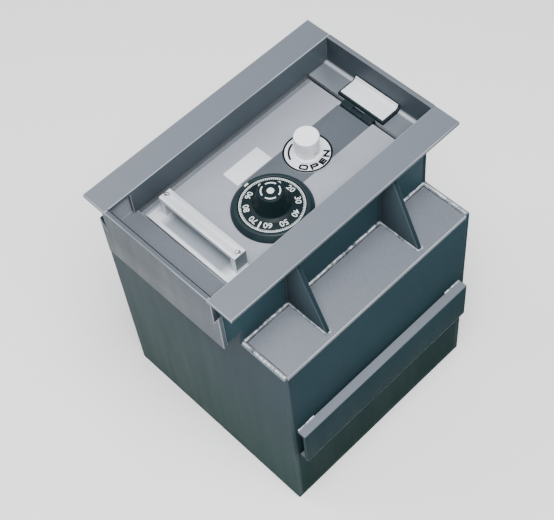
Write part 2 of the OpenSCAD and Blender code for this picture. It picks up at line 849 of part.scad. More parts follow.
module knob_plate() {
    z0 = z_face + strip_t;
    color(near_white)
        difference() {
            rod(knob_x, knob_y, z0, z0 + knob_plate_t, knob_plate_r);
            rod(knob_x, knob_y, z0 - cut, z0 + knob_plate_t + cut, knob_spindle_r + slide_gap);
        }
}

// Places of the four cover screws, round the middle of the lock case
case_corners = [for (sx = [-1, 1], y = [y_case_front + case_boss_r, y_case_back - case_boss_r])
    [dial_x + sx * (case_x - case_boss_r), y]];

// Lock case, open towards the cover, with a slot for the lock bolt
module lock_case() {
    color(brass)
        difference() {
            block([dial_x - case_x, y_case_front, z_case], [dial_x + case_x, y_case_back, z_slab]);
            difference() {
                block([dial_x - case_x + case_t, y_case_front + case_t, z_case - cut],
                    [dial_x + case_x - case_t, y_case_back - case_t, z_ceiling]);
                for (p = case_corners) rod(p[0], p[1], z_case - cut * 2, z_slab, case_boss_r);
            }
            block([dial_x - lock_bolt_w / 2 - slide_gap, y_case_back - case_t - cut, z_bar - slide_gap],
                [dial_x + lock_bolt_w / 2 + slide_gap, y_case_back + cut, z_bar + bar_t + slide_gap]);
            rod(dial_x, dial_y, z_ceiling - cut, z_slab + cut, spindle_r + slide_gap);
            for (p = case_corners)
                rod(p[0], p[1], z_case - cut, z_case + case_h / 2, cover_screw_r);
        }
}

module lock_cover() {
    color(brass)
        difference() {
            block([dial_x - case_x, y_case_front, z_case - cover_t], [dial_x + case_x, y_case_back, z_case]);
            for (p = case_corners)
                rod(p[0], p[1], z_case - cover_t - cut, z_case + cut, cover_screw_r);
        }
}

module lock_cover_screws() {
    color(raw_steel)
        for (p = case_corners) {
            rod(p[0], p[1], z_case - cover_t, z_case + case_h / 2, cover_screw_r);
            rod(p[0], p[1], z_case - cover_t - cover_head_h, z_case - cover_t, cover_head_r);
        }
}

// Tube on which the wheels turn and in which the dial's spindle turns
module wheel_post() {
    color(brass)
        difference() {
            rod(dial_x, dial_y, z_bar, z_ceiling, wheel_post_r);
            rod(dial_x, dial_y, z_bar - cut, z_ceiling + cut, spindle_r + run_gap);
        }
}

// Places of the three locking bolts across the door
bolt_rows = [for (side = [-1, 0, 1]) neck_off + side * (guide_y - bolt_in)];

// Round bar along X at a locking bolt's place
module bolt_bar_round(y, x0, x1, r) {
    translate([x0, y, z_bolt]) rotate([0, 90, 0]) cylinder(h = x1 - x0, r = r);
}

module bolt_guide_block() {
    color(raw_steel)
        difference() {
            block([x_guide, neck_off - guide_y, z_slab - guide_h],
                [x_guide + guide_l, neck_off + guide_y, z_slab]);
            for (y = bolt_rows) bolt_bar_round(y, x_guide - cut, x_guide + guide_l + cut, bolt_r + run_gap);
        }
}

// Bracket under the slab that carries the sliding bar
module bar_guide() {
    x0 = dial_x + case_x + bar_guide_gap;
    y0 = bar_y - slide_gap;
    y1 = bar_y + bar_w + slide_gap;
    z0 = z_bar - slide_gap;
    color(raw_steel)
        difference() {
            block([x0, y0 - bar_guide_t, z0 - bar_guide_t], [x0 + bar_guide_l, y1 + bar_guide_t, z_slab]);
            block([x0 - cut, y0, z0], [x0 + bar_guide_l + cut, y1, z_slab + cut]);
        }
}

// Dial with its knob in one piece
module dial() {
    knob_foot = dial_edge_z + dial_cone_h;
    rim = [[0, dial_edge_z - dial_t], [dial_r, dial_edge_z - dial_t], [dial_r, dial_edge_z]];
    top = arc([dial_knob_top_r - dial_knob_round, dial_knob_h - dial_knob_round], dial_knob_round, 0, 90);
    color(dial_black)
        translate([dial_x, dial_y, z_face])
            rotate_extrude() polygon(concat(rim, [[dial_knob_r, knob_foot]], top, [[0, dial_knob_h]]));
}

module dial_spindle() {
    color(raw_steel) rod(dial_x, dial_y, z_cam, z_dial - dial_t, spindle_r);
}

// Round plate with a gate cut in its edge, turned to the angle that it is given
module gated_disc(z0, thick, r, bore, turn) {
    translate([dial_x, dial_y, z0])
        rotate([0, 0, turn])
            difference() {
                cylinder(h = thick, r = r);
                translate([0, 0, -cut]) cylinder(h = thick + cut * 2, r = bore);
                block([-gate_w / 2, r - gate_d, -cut], [gate_w / 2, r + cut, thick + cut]);
            }
}

module drive_cam() {
    color(brass) gated_disc(z_cam, cam_t, cam_r, spindle_r, 0);
}

module lock_wheel(index) {
    z0 = z_wheels + index * wheel_pitch;
    color(brass) gated_disc(z0, wheel_t, wheel_r, wheel_post_r + run_gap, wheel_turns[index]);
}

module wheel_one() lock_wheel(0);

module wheel_two() lock_wheel(1);

module wheel_three() lock_wheel(2);

// Bolt of the lock, drawn back into its case
module lock_bolt() {
    color(brass)
        block([dial_x - lock_bolt_w / 2, y_lock_bolt - lock_bolt_l, z_bar],
            [dial_x + lock_bolt_w / 2, y_lock_bolt, z_bar + bar_t]);
}

// Lever under the lock bolt, with the fence bar that lies beside the wheels
module lock_lever() {
    y0 = y_lever + work_gap / 2;
    x0 = dial_x - lock_bolt_w - fence_w / 2;
    x1 = dial_x + lock_bolt_w / 2;
    z1 = z_cam + lever_t;
    color(brass) {
        block([x0, y0, z_cam], [x1, y0 + lever_l, z1]);
        rod(dial_x, y0 + lever_l - case_boss_r, z1, z_bar, case_boss_r);
        block([x0, y0, z1], [x0 + fence_w, y0 + fence_w, z_wheels + wheel_pitch * 2 + wheel_t]);
    }
}

// Release knob: a round knob on a wider foot
module release_knob() {
    z0 = strip_t + knob_plate_t + slide_gap;
    top = arc([knob_top_r - knob_round, knob_h - knob_round], knob_round, 0, 90);
    outline = concat([[0, z0], [knob_foot_r, z0], [knob_foot_r, z0 + knob_foot_h / 2],
        [knob_waist_r, z0 + knob_foot_h]], top, [[0, knob_h]]);
    color(near_white)
        difference() {
            translate([knob_x, knob_y, z_face]) rotate_extrude() polygon(outline);
            set_screw(cut);
        }
}

// Round bar across the knob's front, from its axis side out to past its wall by the length given
module set_screw(past) {
    depth = knob_waist_r - set_screw_l;
    translate([knob_x, knob_y - depth, z_face + set_screw_z])
        rotate([90, 0, 0]) cylinder(h = set_screw_l + past, r = set_screw_r);
}

module knob_set_screw() {
    color(raw_steel) set_screw(0);
}

module knob_spindle() {
    z1 = z_face + strip_t + knob_plate_t + slide_gap;
    color(raw_steel) rod(knob_x, knob_y, z_crank, z1, knob_spindle_r);
}

// Disc on the spindle's end, with the pin that moves the yoke
module knob_crank() {
    color(raw_steel) {
        difference() {
            rod(knob_x, knob_y, z_crank, z_crank + crank_t, crank_disc_r);
            rod(knob_x, knob_y, z_crank - cut, z_crank + crank_t + cut, knob_spindle_r);
        }
        rod(knob_x + pin_off, pin_y, z_bar + work_gap, z_crank, crank_pin_r);
    }
}

// Sliding bar with the yoke for the crank pin and the lug for the lock bolt
module bolt_bar() {
    z1 = z_bar + bar_t;
    color(raw_steel)
        difference() {
            union() {
                block([x_head_far, bar_y, z_bar], [x_yoke_far, bar_y + bar_w, z1]);
                block([x_yoke, y_yoke, z_bar], [x_yoke_far, bar_y + cut, z1]);
                block([x_lug, y_case_back + work_gap, z_bar], [x_lug + lug_t, bar_y + cut, z1]);
            }
            block([x_slot - slot_w / 2, y_slot, z_bar - cut], [x_slot + slot_w / 2, y_slot_far, z1 + cut]);
        }
}

// Cross head that carries the three bolts
module bolt_head() {
    color(raw_steel)
        difference() {
            block([x_head, neck_off - head_y, z_slab - slide_gap - head_h],
                [x_head_far, neck_off + head_y, z_slab - slide_gap]);
            for (y = bolt_rows) bolt_bar_round(y, x_head - cut, x_head_far + cut, bolt_r);
        }
}

// Three round bolts with chamfered tips, drawn back into the door
module locking_bolts() {
    tip = x_slab_near + bolt_back;
    color(raw_steel)
        for (y = bolt_rows) {
            bolt_bar_round(y, tip + bolt_tip, x_head_far, bolt_r);
            translate([tip, y, z_bolt])
                rotate([0, 90, 0]) cylinder(h = bolt_tip, r1 = bolt_r - bolt_tip, r2 = bolt_r);
        }
}

base_plate();
front_plate();
back_plate();
near_end_plate();
far_end_plate();
front_shoulder_plate();
back_shoulder_plate();
front_neck_plate();
back_neck_plate();
near_collar_plate();
pocket_floor();
near_ledge_plate();
bolt_keeper();
far_ledge_angle();
front_flange_angle();
back_flange_angle();
front_near_gusset();
front_far_gusset();
back_near_gusset();
back_far_gusset();
anchor_channel();
neck_welds();
gusset_welds();
shoulder_welds();
channel_welds();
front_door_rest();
back_door_rest();
hinge_fixed_leaf();
hinge_leaf_plate();
hinge_pin();
door_slab();
face_panel();
centre_strip();
hinge_door_knuckle();
lift_handle();
handle_screws();
name_plate();
dial_ring();
knob_plate();
lock_case();
lock_cover();
lock_cover_screws();
wheel_post();
bolt_guide_block();
bar_guide();
dial();
dial_spindle();
drive_cam();
wheel_one();
wheel_two();
wheel_three();
lock_bolt();
lock_lever();
release_knob();
knob_set_screw();
knob_spindle();
knob_crank();
bolt_bar();
bolt_head();
locking_bolts();
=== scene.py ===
"""Looks of a welded in-floor deposit safe with a recessed lift-up door.

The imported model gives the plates, joints and places. This script gives them softened edges,
weld beads, raised dial marks and their finishes, and lights them on a pale floor.
"""

import logging
import math
from collections.abc import Callable
from dataclasses import dataclass, field
from enum import Enum

import bmesh
import bpy
from mathutils import Matrix, Vector


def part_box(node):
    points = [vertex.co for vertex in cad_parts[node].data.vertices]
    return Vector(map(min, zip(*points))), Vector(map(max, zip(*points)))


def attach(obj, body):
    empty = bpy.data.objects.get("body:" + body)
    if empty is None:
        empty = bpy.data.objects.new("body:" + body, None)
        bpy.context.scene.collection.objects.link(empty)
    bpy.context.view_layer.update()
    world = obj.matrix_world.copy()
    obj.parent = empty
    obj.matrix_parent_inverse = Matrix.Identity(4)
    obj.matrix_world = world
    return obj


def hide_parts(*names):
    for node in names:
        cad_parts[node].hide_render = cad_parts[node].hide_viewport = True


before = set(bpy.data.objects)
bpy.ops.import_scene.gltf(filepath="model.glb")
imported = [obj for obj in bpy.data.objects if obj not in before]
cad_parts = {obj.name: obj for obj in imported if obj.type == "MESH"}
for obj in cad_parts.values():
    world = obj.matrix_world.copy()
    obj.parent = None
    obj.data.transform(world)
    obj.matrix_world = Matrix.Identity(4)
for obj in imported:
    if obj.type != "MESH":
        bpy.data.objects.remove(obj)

MM = 0.001
# Name of the face attribute that marks the rounded edges, which the finishes colour lighter, partly as
# scuffs and partly as painted highlight.
EDGE = "accent_edge"
FLOAT = "NodeSocketFloat"
TINY = 1e-6
ROUND_STEPS = 4
TURN_STEPS = 144
BEVEL_STEPS = 2
BEVEL_ANGLE = math.radians(30)
FLAT_ANGLE = math.radians(0.3)
LOG = logging.getLogger("safe")

Colour = tuple[float, float, float]
Point = tuple[float, float, float]
Outline = list[tuple[float, float]]
Path = list[Vector]


def srgb(code: str) -> Colour:
    """Turns a six-digit display colour into linear red, green and blue."""
    shares = [int(code[i : i + 2], 16) / 255 for i in (0, 2, 4)]
    return tuple(s / 12.92 if s <= 0.04045 else ((s + 0.055) / 1.055) ** 2.4 for s in shares)


class Slot(Enum):
    """Material slots of the record."""

    BODY = "body_paint"
    WELD = "weld_bead"
    DOOR = "door_paint"
    PANEL = "panel_paint"
    STRIP = "strip_paint"
    WHITE = "white_plate"
    BRIGHT = "bright_metal"
    BLACK = "dial_black"
    STEEL = "raw_steel"
    BRASS = "lock_brass"


class Body(Enum):
    """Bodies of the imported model."""

    SAFE = "body"
    DOOR = "door"
    DIAL = "combination_dial"
    WHEEL_ONE = "first_wheel"
    WHEEL_TWO = "second_wheel"
    WHEEL_THREE = "third_wheel"
    LOCK = "lock_slide"
    KNOB = "knob"
    BOLTS = "bolt_work"


class Axis(Enum):
    """Axes of the frame, by their place in a vector."""

    X = 0
    Y = 1
    Z = 2


class Brushing(Enum):
    """Direction in which a metal was brushed, as its grain's cells per metre along each axis."""

    ALONG_X = (12.0, 900.0, 900.0)
    ALONG_Y = (900.0, 12.0, 900.0)


def operator(operation: str, swapped: bool = False) -> Callable[["Value", "Value | float"], "Value"]:
    """Makes an arithmetic method of Value, with its sides swapped for a reflected form."""

    def method(self: "Value", other: "Value | float") -> "Value":
        """Adds the Math node for both sides."""
        return self.math(operation, *((other, self) if swapped else (self, other)))

    return method


class Value:
    """What a node's socket gives. Python's arithmetic on it adds Math nodes to its tree."""

    def __init__(self, nodes: "Nodes", socket: bpy.types.NodeSocket) -> None:
        """Keeps the tree and the socket."""
        self.nodes = nodes
        self.socket = socket

    def math(self, operation: str, *sides: "Value | float") -> "Value":
        """Adds one Math node for the given sides, or for this value alone."""
        return self.nodes.get("ShaderNodeMath", dict(enumerate(sides or (self,))), {"operation": operation})

    __add__ = __radd__ = operator("ADD")
    __sub__ = operator("SUBTRACT")
    __rsub__ = operator("SUBTRACT", swapped=True)
    __mul__ = __rmul__ = operator("MULTIPLY")
    __truediv__ = operator("DIVIDE")
    __pow__ = operator("POWER")
    __gt__ = operator("GREATER_THAN")
    __lt__ = operator("LESS_THAN")

    def between(self, low: float, high: float) -> "Value":
        """Share of the way from low to high, kept from 0 to 1."""
        values = {"Value": self, "From Min": low, "From Max": high}
        return self.nodes.get("ShaderNodeMapRange", values, {"clamp": True})


class Nodes:
    """Adds nodes to one shader tree or geometry tree."""

    def __init__(self, tree: bpy.types.NodeTree) -> None:
        """Keeps the tree."""
        self.tree = tree

    @staticmethod
    def socket(sockets: bpy.types.bpy_prop_collection, name: str | int) -> bpy.types.NodeSocket:
        """Finds a socket by its position, by its identifier, or else by its name."""
        if isinstance(name, int):
            return sockets[name]
        return ([s for s in sockets if s.identifier == name] or [s for s in sockets if s.name == name])[0]

    def fill(self, node: bpy.types.Node, values: dict[str | int, object]) -> None:
        """Sets a node's inputs to plain values, or links them to Values."""
        for name, value in values.items():
            socket = self.socket(node.inputs, name)
            if isinstance(value, Value):
                self.tree.links.new(value.socket, socket)
            else:
                socket.default_value = value

    def add(
        self,
        kind: str,
        values: dict[str | int, object] | None = None,
        settings: dict[str, object] | None = None,
    ) -> bpy.types.Node:
        """Adds one node of any type.

        Args:
            kind: The node's type.
            values: Its inputs, by identifier, name or position.
            settings: Its properties, which are set first.

        Returns:
            The node.
        """
        node = self.tree.nodes.new(kind)
        for name, value in (settings or {}).items():
            setattr(node, name, value)
        self.fill(node, values or {})
        return node

    def get(
        self,
        kind: str,
        values: dict[str | int, object] | None = None,
        settings: dict[str, object] | None = None,
        output: str | int = 0,
    ) -> Value:
        """Adds one node, just as add does, and returns one of its outputs."""
        node = self.add(kind, values, settings)
        return Value(self, self.socket(node.outputs, output))

    def split(self, vector: Value) -> list[Value]:
        """X, Y and Z of a vector."""
        node = self.add("ShaderNodeSeparateXYZ", {0: vector})
        return [Value(self, socket) for socket in node.outputs]

    def join(self, x: Value | float = 0.0, y: Value | float = 0.0, z: Value | float = 0.0) -> Value:
        """Vector of three numbers."""
        return self.get("ShaderNodeCombineXYZ", {"X": x, "Y": y, "Z": z})

    def place(self, scale: Point = (1.0, 1.0, 1.0), shift: Point = (0.0, 0.0, 0.0)) -> Value:
        """Object coordinates, stretched and shifted along each axis."""
        where = self.get("ShaderNodeTexCoord", output="Object")
        return self.get("ShaderNodeMapping", {"Vector": where, "Location": shift, "Scale": scale})

    def edge(self) -> Value:
        """One on the rounded edges of a softened piece, else zero."""
        return self.get("ShaderNodeAttribute", None, {"attribute_name": EDGE}, "Fac")

    def noise(self, cells: float | Point, detail: float, shift: Point = (0.0, 0.0, 0.0)) -> Value:
        """Noise over object coordinates.

        Args:
            cells: Cells per metre, for all the axes or for each of them.
            detail: Number of octaves.
            shift: Shift of the pattern.

        Returns:
            The noise, about 0.5 on average.
        """
        scale = cells if isinstance(cells, tuple) else (cells,) * 3
        values = {"Vector": self.place(scale, shift), "Scale": 1.0, "Detail": detail}
        return self.get("ShaderNodeTexNoise", values)

    def mix(self, share: Value | float, first: Value | Colour, second: Value | Colour) -> Value:
        """Mixes a share of the second colour into the first."""
        first, second = [c if isinstance(c, Value) else (*c, 1.0) for c in (first, second)]
        values = {"Factor_Float": share, "A_Color": first, "B_Color": second}
        return self.get("ShaderNodeMix", values, {"data_type": "RGBA", "clamp_factor": True}, "Result_Color")

    def bump(self, height: Value, depth: float, strength: float = 0.5) -> Value:
        """Normal of a surface with a relief, whose depth is in metres."""
        return self.get("ShaderNodeBump", {"Strength": strength, "Distance": depth, "Height": height})


@dataclass(frozen=True)
class Extent:
    """Box round one CAD node, in metres."""

    low: Vector
    high: Vector

    @property
    def middle(self) -> Vector:
        """Its middle."""
        return (self.low + self.high) / 2

    @property
    def base(self) -> Vector:
        """Middle of its underside."""
        return Vector((*self.middle.xy, self.low.z))

    @property
    def radius(self) -> float:
        """Half of its length along X."""
        return (self.high.x - self.low.x) / 2

    @property
    def height(self) -> float:
        """Its height."""
        return self.high.z - self.low.z


def extent(node: str) -> Extent:
    """Box round a CAD node."""
    return Extent(*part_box(node))


@dataclass(frozen=True)
class Finish:
    """A surface finish that makes its own node material once."""

    name: str
    slot: Slot
    colour: Colour
    roughness: float = 0.5

    def material(self) -> bpy.types.Material:
        """Returns the finish's material, which is made at the first call."""
        made = bpy.data.materials.get(self.name)
        if not made:
            made = bpy.data.materials.new(self.name)
            made.use_nodes = True
            made.diffuse_color = (*self.colour, 1.0)
            nodes = Nodes(made.node_tree)
            nodes.fill(made.node_tree.nodes["Principled BSDF"], self.inputs(nodes))
        return made

    def toned(self, factor: float, lift: float = 0.0) -> Colour:
        """The finish's colour, times a factor and lifted."""
        return tuple(min(1.0, c * factor + lift) for c in self.colour)

    def inputs(self, nodes: Nodes) -> dict[str, object]:
        """Builds the shader's inputs. Each kind of finish has its own way."""
        raise NotImplementedError


@dataclass(frozen=True)
class PlatePaint(Finish):
    """Thin satin paint over rolled plate: clouded, speckled, with painted light on upward faces.

    A plate may fade to a darker foot colour towards one end of an axis as painted shade, and its
    faces towards the near end may have a colour of their own as painted light.
    """

    # Colour of upward faces and its share: painted light, as if lit from above.
    rubbed: Colour = (0.3, 0.32, 0.36)
    rub: float = 0.0
    # Painted shade: a darker colour towards one end of an axis.
    foot: Colour | None = None
    foot_low: float = 0.0
    foot_high: float = 0.2
    foot_axis: Axis = Axis.Z
    cloud: float = 0.25
    speckle: float = 0.35
    # Lighter colour of the rounded edges and its share: partly scuffs, partly painted highlight.
    worn: Colour = (0.45, 0.48, 0.52)
    wear: float = 0.75
    sheen: float = 0.25
    # Colour of faces towards the near end, as painted light.
    near: Colour | None = None
    cloud_cells: float = 7.0
    streak_cells: Point = (55.0, 55.0, 5.0)
    grain_cells: float = 1100.0
    peel_cells: float = 240.0
    peel: float = 0.12 * MM
    foot_drift: float = 60 * MM

    def inputs(self, nodes: Nodes) -> dict[str, object]:
        """Builds the paint's clouds, rolling streaks, speckle and orange-peel relief."""
        clouds = nodes.noise(self.cloud_cells, 4.0)
        streaks = nodes.noise(self.streak_cells, 3.0, (0.3, 0.1, 0.7))
        grain = nodes.noise(self.grain_cells, 2.0)
        spread = (clouds * 0.7 + streaks * 0.3).between(0.3, 0.7)
        colour = nodes.mix(spread, self.toned(1.0 - self.cloud), self.toned(1.0 + self.cloud * 0.6))
        # Painted shade towards the foot end of the axis.
        if self.foot:
            along = nodes.split(nodes.place())[self.foot_axis.value]
            low = (along + (clouds - 0.5) * self.foot_drift).between(self.foot_high, self.foot_low)
            colour = nodes.mix(low, colour, self.foot)
        # Painted light: upward faces take a colour of their own.
        if self.rub:
            facing = nodes.split(nodes.get("ShaderNodeNewGeometry", output="Normal"))
            colour = nodes.mix(facing[2].between(0.55, 0.95) * self.rub, colour, self.rubbed)
            colour = self.tint(nodes, colour, facing[0])
        colour = nodes.mix(grain.between(0.42, 0.72) * self.speckle, colour, self.toned(1.7, 0.004))
        # Rounded edges: scuffs and painted highlight.
        colour = nodes.mix(nodes.edge() * clouds.between(0.3, 0.55) * self.wear, colour, self.worn)
        return {
            "Base Color": colour,
            "Roughness": self.roughness + (streaks - 0.5) * 0.25 + (grain - 0.5) * 0.1,
            "Specular IOR Level": self.sheen,
            "Normal": nodes.bump(grain * 0.5 + nodes.noise(self.peel_cells, 2.0) * 0.5, self.peel),
        }

    def tint(self, nodes: Nodes, colour: Value, across: Value) -> Value:
        """Paints light on faces towards the near end, told by their normal along X, as a colour of their
        own.
        """
        return nodes.mix(across.between(-0.6, -0.95), colour, self.near) if self.near else colour


@dataclass(frozen=True)
class BentPaint(PlatePaint):
    """Plate paint of a folded angle: painted highlight along the bend and painted light on its ledge's edge.

    The level is the top of that edge, which shows only beside the door's centre strip.
    """

    # Colours of the painted highlight along the bend and of the painted light on the ledge's edge.
    bend: Colour = (0.36, 0.39, 0.43)
    lip: Colour = (0.24, 0.26, 0.29)
    level: float = 381.5 * MM

    def tint(self, nodes: Nodes, colour: Value, across: Value) -> Value:
        """Mixes in the painted highlight of the bend and the painted light on the edge."""
        # Painted highlight on the faces of the bend, and painted light on the ledge's edge beside the strip.
        bend_highlight = across.between(-0.15, -0.45) * across.between(-0.95, -0.75)
        colour = nodes.mix(bend_highlight, colour, self.bend)
        strip = extent("centre_strip")
        _, along, height = nodes.split(nodes.place())
        beside = (along < strip.low.y) + (along > strip.high.y)
        return nodes.mix((across < -0.9) * (height < self.level) * beside, colour, self.lip)


@dataclass(frozen=True)
class BeadMetal(Finish):
    """Weld metal: bright ripples, darker oxide in the hollows and, where given, painted shade above a level.
    """

    oxide: Colour = (0.09, 0.11, 0.13)
    # Colour above the level, as painted shade.
    upper: Colour | None = None
    level: float = 319 * MM
    patch_cells: float = 160.0
    lump_cells: float = 620.0
    lump: float = 0.6 * MM

    def inputs(self, nodes: Nodes) -> dict[str, object]:
        """Builds the oxide patches and the small lumps."""
        patches = nodes.noise(self.patch_cells, 3.0)
        lumps = nodes.noise(self.lump_cells, 3.0, (0.2, 0.5, 0.1))
        colour = nodes.mix(patches.between(0.42, 0.68), self.colour, self.oxide)
        # Painted shade above the level.
        if self.upper:
            height = nodes.split(nodes.place())[2]
            colour = nodes.mix(height > self.level, colour, self.upper)
        return {
            "Base Color": colour,
            "Metallic": 0.35 + lumps * 0.3,
            "Roughness": self.roughness + (patches - 0.5) * 0.4,
            "Normal": nodes.bump(lumps, self.lump, 0.8),
        }


@dataclass(frozen=True)
class BrushedMetal(Finish):
    """Metal with a brushed or turned grain in one direction."""

    brushing: Brushing = Brushing.ALONG_Y
    metallic: float = 1.0
    shade: float = 0.8
    mark_cells: float = 26.0
    scratch: float = 0.08 * MM

    def inputs(self, nodes: Nodes) -> dict[str, object]:
        """Builds the grain, the handling marks and a faint tarnish."""
        grain = nodes.noise(self.brushing.value, 4.0)
        marks = nodes.noise(self.mark_cells, 4.0, (0.6, 0.2, 0.4))
        bare = (grain * 0.5 + marks * 0.5).between(0.35, 0.7)
        return {
            "Base Color": self.tint(nodes, nodes.mix(bare, self.toned(self.shade), self.colour)),
            "Metallic": self.metallic,
            "Roughness": self.roughness + (grain - 0.5) * 0.3 + (marks - 0.5) * 0.2,
            "Normal": nodes.bump(grain, self.scratch, 0.6),
        }

    def tint(self, nodes: Nodes, colour: Value) -> Value:
        """Leaves the colour as it is. A kind of metal may change it from place to place."""
        return colour


@dataclass(frozen=True)
class HandleMetal(BrushedMetal):
    """Brushed metal of the handle: bright on the grip and at the foot's edge, painted shadow under the grip.
    """

    # Painted shadow of the grip on the foot, and painted shade on the end posts.
    foot: Colour = (0.22, 0.25, 0.28)
    end: Colour = (0.14, 0.17, 0.19)
    foot_top: float = 390 * MM
    grip_under: float = 404 * MM
    ends: tuple[float, float] = (-52.3 * MM, 70.3 * MM)
    fade: float = 18 * MM
    bright_edge: float = 3 * MM

    def tint(self, nodes: Nodes, colour: Value) -> Value:
        """Paints shadow on the foot under the grip and shade on the end posts; rounded edges stay bright."""
        across, along, height = nodes.split(nodes.place())
        body = 1.0 - nodes.edge()
        first, last = self.ends
        rim = extent("lift_handle").low.x + self.bright_edge
        # Painted shadow of the grip on the foot, kept off its front strip and the rounded edges.
        darker = along.between(first + self.fade * 0.2, first + self.fade)
        darker = darker * along.between(last - self.fade * 0.2, last - self.fade)
        darker = darker * across.between(rim, rim + self.bright_edge)
        darker = darker * height.between(self.grip_under, self.foot_top) * body
        # Painted shade on the end posts above the foot.
        outside = (along < first) + (along > last)
        return nodes.mix(
            outside * (height > self.foot_top) * body, nodes.mix(darker, colour, self.foot), self.end
        )


@dataclass(frozen=True)
class Enamel(Finish):
    """Smooth enamel or lacquer with a light coat and faint handling marks."""

    shade: float = 0.88
    coat: float = 0.2
    peel: float = 0.06 * MM
    sheen: float = 0.5
    cloud_cells: float = 35.0
    smear_cells: Point = (180.0, 60.0, 120.0)
    fine_cells: float = 900.0

    def inputs(self, nodes: Nodes) -> dict[str, object]:
        """Builds the faint clouds, the smears and the fine relief."""
        clouds = nodes.noise(self.cloud_cells, 4.0, (0.1, 0.8, 0.3))
        smears = nodes.noise(self.smear_cells, 3.0)
        fine = nodes.noise(self.fine_cells, 2.0)
        clean = (clouds * 0.6 + fine * 0.4).between(0.35, 0.65)
        return {
            "Base Color": nodes.mix(clean, self.toned(self.shade), self.colour),
            "Roughness": self.roughness + (smears - 0.5) * 0.25,
            "Coat Weight": self.coat,
            "Coat Roughness": 0.15,
            "Specular IOR Level": self.sheen,
            "Normal": nodes.bump(fine, self.peel),
        }


@dataclass(frozen=True)
class FloorPaper(Finish):
    """Plain pale floor."""

    def inputs(self, nodes: Nodes) -> dict[str, object]:
        """A single quiet colour is enough for the floor."""
        return {"Base Color": (*self.colour, 1.0), "Roughness": self.roughness}


